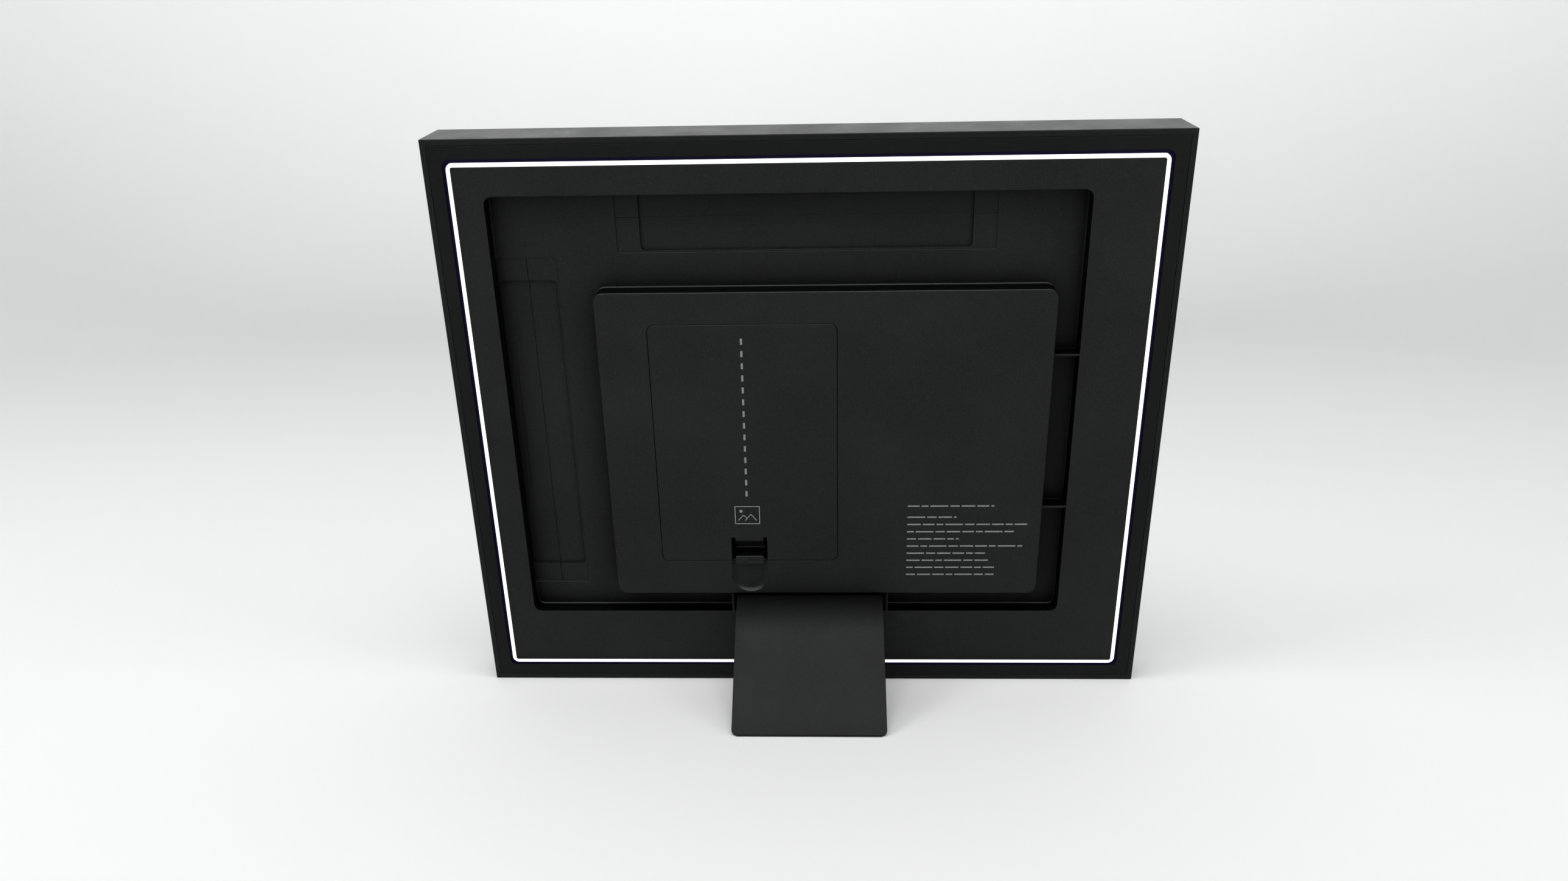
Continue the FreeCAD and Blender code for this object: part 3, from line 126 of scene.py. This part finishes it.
class Graph:
    """A material's node tree, with short calls for the nodes that this scene uses."""

    def __init__(self, name):
        self.material = bpy.data.materials.new(name)
        self.material.use_nodes = True
        self.tree = self.material.node_tree
        self.tree.nodes.clear()
        own = self.add("ShaderNodeTexCoord")
        self.place = own.outputs["Object"]
        self.own_normal = own.outputs["Normal"]

    def add(self, kind, **settings):
        node = self.tree.nodes.new(kind)
        for key, value in settings.items():
            setattr(node, key, value)
        return node

    def put(self, socket, value):
        """Link an output to a socket, or set a plain value on it."""
        if isinstance(value, bpy.types.NodeSocket):
            self.tree.links.new(value, socket)
        else:
            socket.default_value = value

    def noise(self, scale, detail=2.0, rough=0.5, place=None):
        """Smooth noise from 0 to 1, its scale in waves a metre."""
        node = self.add("ShaderNodeTexNoise")
        self.put(node.inputs["Vector"], place or self.place)
        node.inputs["Scale"].default_value = scale
        node.inputs["Detail"].default_value = detail
        node.inputs["Roughness"].default_value = rough
        return node.outputs["Fac"]

    def stretch(self, x, y, z):
        """The object's own coordinates, scaled apart along the three axes."""
        node = self.add("ShaderNodeMapping")
        self.put(node.inputs["Vector"], self.place)
        node.inputs["Scale"].default_value = (x, y, z)
        return node.outputs["Vector"]

    def ramp(self, value, low, high, start=0.0, end=1.0):
        """Remap a value from low..high to start..end, held flat outside."""
        node = self.add("ShaderNodeMapRange")
        self.put(node.inputs["Value"], value)
        node.inputs["From Min"].default_value = low
        node.inputs["From Max"].default_value = high
        node.inputs["To Min"].default_value = start
        node.inputs["To Max"].default_value = end
        return node.outputs["Result"]

    def maths(self, operation, first, second=0.0):
        node = self.add("ShaderNodeMath", operation=operation)
        self.put(node.inputs[0], first)
        self.put(node.inputs[1], second)
        return node.outputs[0]

    def blend(self, factor, first, second):
        """Mix two colours."""
        node = self.add("ShaderNodeMix", data_type="RGBA")
        self.put(node.inputs["Factor"], factor)
        self.put(node.inputs[6], first)
        self.put(node.inputs[7], second)
        return node.outputs[2]

    def along(self, direction, origin):
        """Distance in metres from a point, measured along a direction."""
        shift = self.add("ShaderNodeVectorMath", operation="SUBTRACT")
        self.put(shift.inputs[0], self.place)
        shift.inputs[1].default_value = origin
        dot = self.add("ShaderNodeVectorMath", operation="DOT_PRODUCT")
        self.put(dot.inputs[0], shift.outputs[0])
        dot.inputs[1].default_value = direction
        return dot.outputs["Value"]

    def specks(self, scale, radius, share):
        """Sparse round specks: about one cell in 1/share of a grid holds one."""
        node = self.add("ShaderNodeTexVoronoi")
        self.put(node.inputs["Vector"], self.place)
        node.inputs["Scale"].default_value = scale
        near = self.ramp(node.outputs["Distance"], radius * 0.6, radius, 1.0, 0.0)
        split = self.add("ShaderNodeSeparateColor")
        self.put(split.inputs[0], node.outputs["Color"])
        chosen = self.maths("GREATER_THAN", split.outputs[0], 1.0 - share)
        return self.maths("MULTIPLY", near, chosen)

    def bump(self, height, distance, strength=1.0, normal=None):
        node = self.add("ShaderNodeBump")
        self.put(node.inputs["Height"], height)
        node.inputs["Distance"].default_value = distance
        node.inputs["Strength"].default_value = strength
        if normal is not None:
            self.put(node.inputs["Normal"], normal)
        return node.outputs["Normal"]

    def openness(self, reach, alone):
        """How open a place is within a reach: 1 in the open, less in a corner.

        It can be judged from the piece alone, leaving out what stands near it.
        """
        node = self.add("ShaderNodeAmbientOcclusion", samples=4, only_local=alone)
        node.inputs["Distance"].default_value = reach
        return node.outputs["AO"]

    def facing(self, direction):
        """How squarely the surface at rest faces a direction: 1 square on, 0 edge on."""
        dot = self.add("ShaderNodeVectorMath", operation="DOT_PRODUCT")
        self.put(dot.inputs[0], self.own_normal)
        dot.inputs[1].default_value = direction
        return dot.outputs["Value"]

    def soft_edges(self, radius):
        """Shading normals rounded over the edges by a small radius."""
        node = self.add("ShaderNodeBevel", samples=4)
        node.inputs["Radius"].default_value = radius
        return node.outputs["Normal"]

    def lit_edge(self, rounded):
        """Painted highlight mask: 1 along rounded edges that look rearward and up at rest, 0 on the flats."""
        own = self.add("ShaderNodeVectorTransform", vector_type="NORMAL", convert_from="WORLD",
                       convert_to="OBJECT")
        self.put(own.inputs[0], rounded)
        dot = self.add("ShaderNodeVectorMath", operation="DOT_PRODUCT")
        self.put(dot.inputs[0], own.outputs[0])
        dot.inputs[1].default_value = (REAR + UP).normalized()
        return self.ramp(dot.outputs["Value"], 0.85, 0.95)

    def surface(self, **values):
        """Finish with a principled surface; plain numbers are set on its own sockets."""
        shader = self.add("ShaderNodeBsdfPrincipled")
        for key, value in values.items():
            self.put(shader.inputs[key.replace("_", " ")], value)
        output = self.add("ShaderNodeOutputMaterial")
        self.put(output.inputs["Surface"], shader.outputs["BSDF"])
        return self.material


def grey(level, tint=(1.0, 1.0, 1.0)):
    """A colour of one level with a slight tint."""
    return (level * tint[0], level * tint[1], level * tint[2], 1.0)


# ------------------------------------------------------------------ materials

COOL = (0.94, 1.0, 0.98)
CLOUD_WAVES = 14.0
CLOUD_DARKER = 0.86
CLOUD_PALER = 1.14
SMEAR_WAVES = 38.0
GRAIN_WAVES = 1900.0
GRAIN_SHARE = 0.6
GRAIN_PALER = 2.6
GRAIN_HEIGHT = 0.02 * MM
DUST_CELLS = 95.0
DUST_RADIUS = 0.016
DUST_SHARE = 0.10
DUST_GREY = 0.22
# Painted shade in corners and on walls square to the rear
CORNER_REACH = 22 * MM
CORNER_SHADE = 0.04
CORNER_CLOSED = 0.42
CORNER_OPEN = 0.93
EDGE_ON = 0.2
SQUARE_ON = 0.9
# Painted shade and a painted violet glow of stray light in the groove beside the light ring
GROOVE_LEVEL = -0.9 * MM
GROOVE_FADE = 0.2 * MM
GROOVE_PAINTED_SHADE = 0.001
STRAY_LIGHT = (0.20, 0.10, 1.0, 1.0)
STRAY_STRENGTH = 0.012


def plastic_colour(g, level, fine):
    """Black that varies over broad clouds and a fine grain, with sparse dust."""
    cloud = g.ramp(g.noise(CLOUD_WAVES, 3.0), 0.35, 0.65)
    base = g.blend(cloud, grey(level * CLOUD_DARKER, COOL), grey(level * CLOUD_PALER, COOL))
    grain = g.maths("MULTIPLY", g.ramp(fine, 0.45, 0.75), GRAIN_SHARE)
    base = g.blend(grain, base, grey(level * GRAIN_PALER, COOL))
    return g.blend(g.specks(DUST_CELLS, DUST_RADIUS, DUST_SHARE), base, grey(DUST_GREY))


def painted_shade(g, wall, alone):
    """Painted shade: a factor that falls in corners, and to a given level on walls square to the rear."""
    opening = g.openness(CORNER_REACH, alone)
    corners = g.ramp(opening, CORNER_CLOSED, CORNER_OPEN, CORNER_SHADE, 1.0)
    walls = g.ramp(g.facing(REAR), EDGE_ON, SQUARE_ON, wall, 1.0)
    return g.maths("MULTIPLY", corners, walls)


def plastic_roughness(g, roughness, rear_roughness, fine):
    """Roughness varied by handling marks and grain, with its own level on faces to the rear."""
    smear = g.noise(SMEAR_WAVES, 4.0, 0.6, g.stretch(1.0, 0.6, 0.45))
    rough = g.ramp(smear, 0.3, 0.7, roughness - 0.05, roughness + 0.05)
    if rear_roughness:
        extra = g.ramp(g.facing(REAR), EDGE_ON, SQUARE_ON, 0.0, rear_roughness - roughness)
        rough = g.maths("ADD", rough, extra)
    return g.maths("ADD", rough, g.ramp(fine, 0.3, 0.7, -0.03, 0.03))


def moulded_plastic(name, level, roughness, specular, grain=1.0, edge=0.25 * MM, wall=1.0,
                    edge_highlight_and_wear=None, rear_roughness=None, groove=False, alone=False):
    """Fine spark-eroded black plastic with faint handling marks and a little dust.

    It has painted shade in corners and on walls square to the frame's rear. A painted highlight
    makes edges that look rearward and up paler, where a factor for it is given. In a groove beside
    the light ring it has darker painted shade and a faint painted violet glow of stray light.
    """
    g = Graph(name)
    fine = g.noise(GRAIN_WAVES, 2.0, 0.6)
    # Painted shade: the colour is blended to black in corners and on walls square to the rear.
    base = g.blend(painted_shade(g, wall, alone), grey(0.0), plastic_colour(g, level, fine))
    rounded = g.soft_edges(edge)
    # Painted highlight: paler colour along edges that look rearward and up.
    if edge_highlight_and_wear:
        base = g.blend(g.lit_edge(rounded), base, grey(level * edge_highlight_and_wear, COOL))
    rough = plastic_roughness(g, roughness, rear_roughness, fine)
    normal = g.bump(fine, GRAIN_HEIGHT * grain, 0.8, rounded)
    stray = 0.0
    # Painted shade and glow in the groove: near-black colour and a faint violet emission for stray light.
    if groove:
        depth = g.along(REAR, REAR_EDGE)
        stray = g.ramp(depth, GROOVE_LEVEL - GROOVE_FADE, GROOVE_LEVEL, 1.0, 0.0)
        base = g.blend(stray, base, grey(GROOVE_PAINTED_SHADE))
        stray = g.maths("MULTIPLY", stray, STRAY_STRENGTH)
    return g.surface(Base_Color=base, Roughness=rough, Normal=normal, Specular_IOR_Level=specular,
                     Emission_Color=STRAY_LIGHT, Emission_Strength=stray)


def lit_diffuser():
    """Opal diffuser: bright and white where it faces out, faint violet on its flanks."""
    g = Graph("lit_diffuser")
    front = g.ramp(g.facing(REAR), 0.3, 0.7)
    uneven = g.ramp(g.noise(9.0, 1.0), 0.3, 0.7, 0.9, 1.0)
    white = g.blend(uneven, (0.90, 0.95, 0.86, 1), (1.0, 1.0, 0.97, 1))
    colour = g.blend(front, (0.10, 0.05, 0.42, 1), white)
    strength = g.ramp(front, 0.0, 1.0, 0.10, 1.25)
    return g.surface(Base_Color=grey(0.8), Roughness=0.35, Emission_Color=colour,
                     Emission_Strength=strength)


def display_picture():
    """The panel, lit with a plain made-up view of hills under an evening sky."""
    g = Graph("display_picture")
    centre = spot(0, 0, FRAME_MIDDLE_Z)
    across = g.along(ACROSS, centre)
    height = g.along(UP, centre)
    half = ACTIVE_H * MM / 2
    sky_fade = g.ramp(height, -0.2 * half, half)
    sky = g.blend(sky_fade, (0.95, 0.62, 0.36, 1), (0.16, 0.30, 0.52, 1))
    cloud_place = g.stretch(3.0, 1.0, 14.0)
    clouds = g.ramp(g.noise(3.2, 5.0, 0.6, cloud_place), 0.52, 0.72)
    clouds = g.maths("MULTIPLY", clouds, g.ramp(height, 0.1 * half, 0.6 * half))
    picture = g.blend(g.maths("MULTIPLY", clouds, 0.6), sky, (0.98, 0.82, 0.66, 1))
    for index, (level, swing, scale, crest, mist) in enumerate(HILLS):
        ridge_place = g.add("ShaderNodeCombineXYZ")
        g.put(ridge_place.inputs[0], across)
        ridge_place.inputs[1].default_value = 3.7 * index
        ridge = g.noise(scale, 3.0, 0.45, ridge_place.outputs[0])
        top = g.maths("ADD", g.maths("MULTIPLY", g.maths("SUBTRACT", ridge, 0.5), swing * 2), level)
        depth = g.maths("SUBTRACT", top, height)
        haze = g.ramp(g.maths("ADD", depth, g.ramp(g.noise(11.0, 4.0), 0.3, 0.7, -0.012, 0.012)),
                      0.0, 0.075)
        picture = g.blend(g.ramp(depth, -0.0004, 0.0004), picture, g.blend(haze, crest, mist))
    return g.surface(Base_Color=grey(0.01), Roughness=0.25, Emission_Color=picture,
                     Emission_Strength=0.85)


def clear_pane():
    """The clear pane, with the faintest unevenness of polish."""
    g = Graph("clear_pane")
    rough = g.ramp(g.noise(12.0, 2.0), 0.3, 0.7, 0.004, 0.015)
    return g.surface(Base_Color=(0.96, 0.985, 0.975, 1), Roughness=rough, Transmission_Weight=1.0,
                     IOR=1.45)


def card():
    """Off-white mat board with a soft paper tooth."""
    g = Graph("mat_card")
    tooth = g.noise(900.0, 4.0, 0.65)
    base = g.blend(tooth, (0.80, 0.79, 0.75, 1), (0.87, 0.86, 0.83, 1))
    normal = g.bump(tooth, 0.03 * MM, 0.7)
    return g.surface(Base_Color=base, Roughness=0.85, Normal=normal, Specular_IOR_Level=0.25)


def brushed_metal(name, colour, roughness):
    """Rolled or plated metal with fine lines one way."""
    g = Graph(name)
    lines = g.noise(700.0, 3.0, 0.6, g.stretch(0.04, 1.0, 1.0))
    rough = g.ramp(lines, 0.3, 0.7, roughness - 0.07, roughness + 0.07)
    dark = tuple(channel * 0.82 for channel in colour)
    base = g.blend(lines, dark + (1,), colour + (1,))
    normal = g.bump(lines, 0.01 * MM, 0.5, g.soft_edges(0.15 * MM))
    return g.surface(Base_Color=base, Metallic=1.0, Roughness=rough, Normal=normal)


def sheet_film(name, colour, roughness):
    """Thin film or tape: flat cables, aerials and diffusing sheets."""
    g = Graph(name)
    tracks = g.ramp(g.noise(1800.0, 0.0, 0.5, g.stretch(1.0, 0.01, 0.01)), 0.45, 0.55)
    dark = tuple(channel * 0.7 for channel in colour)
    base = g.blend(g.maths("MULTIPLY", tracks, 0.5), colour + (1,), dark + (1,))
    rough = g.ramp(g.noise(30.0, 2.0), 0.3, 0.7, roughness - 0.04, roughness + 0.06)
    return g.surface(Base_Color=base, Roughness=rough)


def solder_mask():
    """Green circuit board with a hint of tracks under the lacquer."""
    g = Graph("board")
    tracks = g.add("ShaderNodeTexVoronoi", feature="DISTANCE_TO_EDGE")
    g.put(tracks.inputs["Vector"], g.place)
    tracks.inputs["Scale"].default_value = 320.0
    line = g.ramp(tracks.outputs["Distance"], 0.02, 0.05, 1.0, 0.0)
    base = g.blend(g.maths("MULTIPLY", line, 0.5), (0.012, 0.09, 0.045, 1), (0.05, 0.22, 0.10, 1))
    normal = g.bump(line, 0.02 * MM, 0.5)
    return g.surface(Base_Color=base, Roughness=0.32, Normal=normal)


def cellular(name, level, roughness, scale):
    """Foam or rubber with an open fine texture."""
    g = Graph(name)
    cells = g.noise(scale, 4.0, 0.7)
    base = g.blend(cells, grey(level * 0.7), grey(level * 1.4))
    normal = g.bump(cells, 0.08 * MM, 0.6)
    return g.surface(Base_Color=base, Roughness=roughness, Normal=normal, Specular_IOR_Level=0.3)


def pale_floor():
    """Plain pale seamless paper."""
    g = Graph("pale_floor")
    broad = g.noise(0.9, 2.0)
    tooth = g.noise(420.0, 3.0, 0.6)
    base = g.blend(g.ramp(broad, 0.3, 0.7), (0.80, 0.805, 0.80, 1), (0.83, 0.835, 0.83, 1))
    normal = g.bump(tooth, 0.04 * MM, 0.3)
    return g.surface(Base_Color=base, Roughness=0.75, Normal=normal, Specular_IOR_Level=0.15)


def print_ink():
    """Pale grey pad print."""
    g = Graph("print_ink")
    # Random wear of the ink.
    edge_highlight_and_wear = g.ramp(g.noise(1500.0, 3.0, 0.6), 0.35, 0.6)
    base = g.blend(edge_highlight_and_wear, grey(0.16), grey(0.26))
    return g.surface(Base_Color=base, Roughness=0.6, Specular_IOR_Level=0.2)


def black_plastics():
    """The six moulded plastics, each named as its slot in the record."""
    # Painted shade on walls is set by wall, and the painted edge highlight by the paler-edge factor.
    return {
        "frame_plastic": moulded_plastic("frame_plastic", level=0.0050, roughness=0.33,
                                         specular=0.18, grain=0.5, edge_highlight_and_wear=3.0,
                                         rear_roughness=0.8, alone=True),
        "bezel_plastic": moulded_plastic("bezel_plastic", level=0.0062, roughness=0.45,
                                         specular=0.06, grain=0.5, edge_highlight_and_wear=5.0, groove=True,
                                         alone=True),
        "cover_plastic": moulded_plastic("cover_plastic", level=0.0115, roughness=0.45,
                                         specular=0.06, edge=0.35 * MM, wall=0.2, edge_highlight_and_wear=4.5),
        "stand_plastic": moulded_plastic("stand_plastic", level=0.0160, roughness=0.42,
                                         specular=0.08, wall=0.25),
        "button_plastic": moulded_plastic("button_plastic", level=0.0080, roughness=0.30,
                                          specular=0.5, grain=0.4),
        "pack_plastic": moulded_plastic("pack_plastic", level=0.0400, roughness=0.55,
                                        specular=0.3, grain=0.6),
    }


def other_finishes():
    """The finishes of everything else, each named as its slot in the record."""
    return {
        "lit_diffuser": lit_diffuser(),
        "pane": clear_pane(),
        "panel_glass": display_picture(),
        "mat_card": card(),
        "white_film": sheet_film("white_film", (0.82, 0.83, 0.84), 0.55),
        "light_guide": sheet_film("light_guide", (0.85, 0.90, 0.90), 0.12),
        "tray_metal": brushed_metal("tray_metal", (0.62, 0.62, 0.61), 0.38),
        "chassis_metal": brushed_metal("chassis_metal", (0.70, 0.70, 0.71), 0.34),
        "screw_steel": brushed_metal("screw_steel", (0.48, 0.48, 0.50), 0.28),
        "contact_brass": brushed_metal("contact_brass", (0.80, 0.60, 0.30), 0.22),
        "flat_cable": sheet_film("flat_cable", (0.50, 0.28, 0.09), 0.35),
        "board": solder_mask(),
        "foam": cellular("foam", 0.03, 0.95, 1400.0),
        "rubber": cellular("rubber", 0.02, 0.8, 2600.0),
    }


def dress(finishes):
    """Give every CAD node the finish of its slot in the record."""
    slots = {part["node"]: part["material_slot"] for part in frame["record"]["subparts"]}
    for name, thing in frame["nodes"].items():
        thing.data.materials.clear()
        thing.data.materials.append(finishes[slots[name]])


# ------------------------------------------------------------------ printed marks

def plates(name, outlines, material):
    """Thin raised prints, each from a flat outline of (x, z) points on the housing's face."""
    low = HOUSING_FACE + MARK_LIFT
    points = []
    faces = []
    for outline in outlines:
        start = len(points)
        count = len(outline)
        for y in (low, low + MARK_THICK):
            points += [spot(x, y, z) for x, z in outline]
        faces.append([start + i for i in range(count)])
        faces.append([start + count + i for i in reversed(range(count))])
        for i in range(count):
            j = (i + 1) % count
            faces.append([start + i, start + count + i, start + count + j, start + j])
    mesh = bpy.data.meshes.new(name)
    mesh.from_pydata(points, [], faces)
    mesh.validate()
    mesh.materials.append(material)
    thing = bpy.data.objects.new(name, mesh)
    bpy.context.scene.collection.objects.link(thing)
    return thing


def bar(x0, x1, z0, z1):
    """A rectangle's corners, anticlockwise seen from the front."""
    return [(x0, z0), (x1, z0), (x1, z1), (x0, z1)]


def stroke(x0, z0, x1, z1, width):
    """A straight line of a width as four corners."""
    length = math.hypot(x1 - x0, z1 - z0)
    dx = (x1 - x0) / length * width / 2
    dz = (z1 - z0) / length * width / 2
    return [(x0 + dz, z0 - dx), (x1 + dz, z1 - dx), (x1 - dz, z1 + dx), (x0 - dz, z0 + dx)]


def disc(x, z, radius, count=28):
    """A round dot."""
    turns = [2 * math.pi * i / count for i in range(count)]
    return [(x + radius * math.cos(t), z + radius * math.sin(t)) for t in turns]


def ruled_line(z, length, first):
    """A line of word-long dashes with no lettering, from the label's left edge."""
    outlines = []
    done = 0.0
    index = first
    while done < length:
        run = min(WORD_LENGTHS[index % len(WORD_LENGTHS)], length - done)
        start = RULE_LEFT - done
        outlines.append(bar(start - run, start, z - RULE_WIDTH / 2, z + RULE_WIDTH / 2))
        done += run + WORD_GAP
        index += 1
    return outlines


def label_rules():
    """A block of plain ruled lines under a heading line, where the object has a printed label."""
    outlines = ruled_line(RULE_TOP, RULE_LENGTHS[0], 0)
    for index, length in enumerate(RULE_LENGTHS[1:], 1):
        outlines += ruled_line(RULE_TOP - HEADING_GAP - index * RULE_PITCH, length, 2 * index)
    return outlines


def door_marks():
    """A plain dashed stripe and a common picture symbol on the door."""
    half = DASH_WIDTH / 2
    count = int((STRIPE_HIGH - STRIPE_LOW) / DASH_PITCH) + 1
    outlines = [bar(STRIPE_X - half, STRIPE_X + half, STRIPE_LOW + k * DASH_PITCH,
                    STRIPE_LOW + k * DASH_PITCH + DASH_LENGTH) for k in range(count)]
    x0 = STRIPE_X - ICON_W / 2
    x1 = STRIPE_X + ICON_W / 2
    z0 = ICON_Z - ICON_H / 2
    z1 = ICON_Z + ICON_H / 2
    line = ICON_LINE
    outlines += [bar(x0, x1, z0, z0 + line), bar(x0, x1, z1 - line, z1),
                 bar(x0, x0 + line, z0 + line, z1 - line), bar(x1 - line, x1, z0 + line, z1 - line)]
    for peak in ICON_PEAKS:
        for (xa, za), (xb, zb) in zip(peak, peak[1:]):
            outlines.append(stroke(x0 + xa, z0 + za, x0 + xb, z0 + zb, line))
    outlines.append(disc(x0 + ICON_SUN[0], z0 + ICON_SUN[1], ICON_SUN_R))
    return outlines


def add_marks():
    ink = print_ink()
    label = plates("label_rules", label_rules(), ink)
    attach(label, "frame")
    door = plates("door_marks", door_marks(), ink)
    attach(door, "door")


# ------------------------------------------------------------------ studio

def sweep():
    """A pale round floor that curves up into a wall on every side."""
    profile = [(radius, 0.0) for radius in SWEEP_RINGS]
    for i in range(1, SWEEP_STEPS + 1):
        turn = math.radians(90) * i / SWEEP_STEPS
        profile.append((SWEEP_FLAT + SWEEP_BEND * math.sin(turn), SWEEP_BEND * (1 - math.cos(turn))))
    profile.append((SWEEP_FLAT + SWEEP_BEND, SWEEP_TOP))
    around = SWEEP_AROUND
    points = [Vector((0, 0, 0))]
    for radius, height in profile[1:]:
        for k in range(around):
            angle = 2 * math.pi * k / around
            points.append(Vector((radius * math.cos(angle), radius * math.sin(angle), height)))
    faces = [[0, 1 + k, 1 + (k + 1) % around] for k in range(around)]
    for ring in range(len(profile) - 2):
        low = 1 + ring * around
        for k in range(around):
            after = (k + 1) % around
            faces.append([low + k, low + around + k, low + around + after, low + after])
    mesh = bpy.data.meshes.new("floor")
    mesh.from_pydata(points, [], faces)
    mesh.shade_smooth()
    mesh.materials.append(pale_floor())
    floor = bpy.data.objects.new("floor", mesh)
    bpy.context.scene.collection.objects.link(floor)


def soft_box(name, place, target, width, height, power, spread=180.0):
    """A large soft light aimed at a point, its beam narrowed to a spread in degrees."""
    data = bpy.data.lights.new(name, "AREA")
    data.shape = "RECTANGLE"
    data.size = width
    data.size_y = height
    data.energy = power
    data.spread = math.radians(spread)
    light = bpy.data.objects.new(name, data)
    light.location = place
    light.rotation_euler = (Vector(target) - Vector(place)).to_track_quat("-Z", "Y").to_euler()
    bpy.context.scene.collection.objects.link(light)


def daylight():
    """An even pale surround, brighter towards the front of the frame than behind it."""
    world = bpy.data.worlds.new("studio")
    world.use_nodes = True
    tree = world.node_tree
    tree.nodes.clear()
    place = tree.nodes.new("ShaderNodeTexCoord")
    split = tree.nodes.new("ShaderNodeSeparateXYZ")
    level = tree.nodes.new("ShaderNodeMapRange")
    level.inputs["From Min"].default_value = -WORLD_FADE
    level.inputs["From Max"].default_value = WORLD_FADE
    level.inputs["To Min"].default_value = WORLD_FRONT
    level.inputs["To Max"].default_value = WORLD_REAR
    background = tree.nodes.new("ShaderNodeBackground")
    background.inputs["Color"].default_value = WORLD_TINT
    output = tree.nodes.new("ShaderNodeOutputWorld")
    tree.links.new(place.outputs["Generated"], split.inputs[0])
    tree.links.new(split.outputs["Y"], level.inputs["Value"])
    tree.links.new(level.outputs["Result"], background.inputs["Strength"])
    tree.links.new(background.outputs[0], output.inputs["Surface"])
    bpy.context.scene.world = world


def studio():
    """Floor, surround and soft boxes."""
    sweep()
    daylight()
    soft_box("left_side", place=(1.9, 0.9, 1.9), target=(0, 0.15, 0), width=1.2, height=1.2,
             power=21)
    soft_box("right_side", place=(-1.9, 0.9, 1.9), target=(0, 0.15, 0), width=1.2, height=1.2,
             power=10)
    soft_box("overhead", place=(0, 1.25, 2.2), target=(0, 0.2, 0), width=2.0, height=1.4,
             power=34)
    soft_box("wall_wash", place=(0.1, -1.4, 2.5), target=(0.1, -3.6, 1.9), width=6.6, height=0.6,
             power=39, spread=130)


def camera():
    """The camera at the viewing angle of the reference."""
    data = bpy.data.cameras.new("camera")
    data.sensor_width = SENSOR_WIDTH
    data.lens = CAMERA_LENS
    data.clip_start = CLIP_START
    thing = bpy.data.objects.new("camera", data)
    up = CAMERA_RIGHT.cross(CAMERA_LOOKS)
    turn = Matrix((CAMERA_RIGHT, up, -CAMERA_LOOKS)).transposed()
    thing.matrix_world = Matrix.Translation(CAMERA_PLACE) @ turn.to_4x4()
    bpy.context.scene.collection.objects.link(thing)
    bpy.context.scene.camera = thing


bpy.context.scene.view_settings.view_transform = "Standard"
dress({**black_plastics(), **other_finishes()})
add_marks()
studio()
camera()
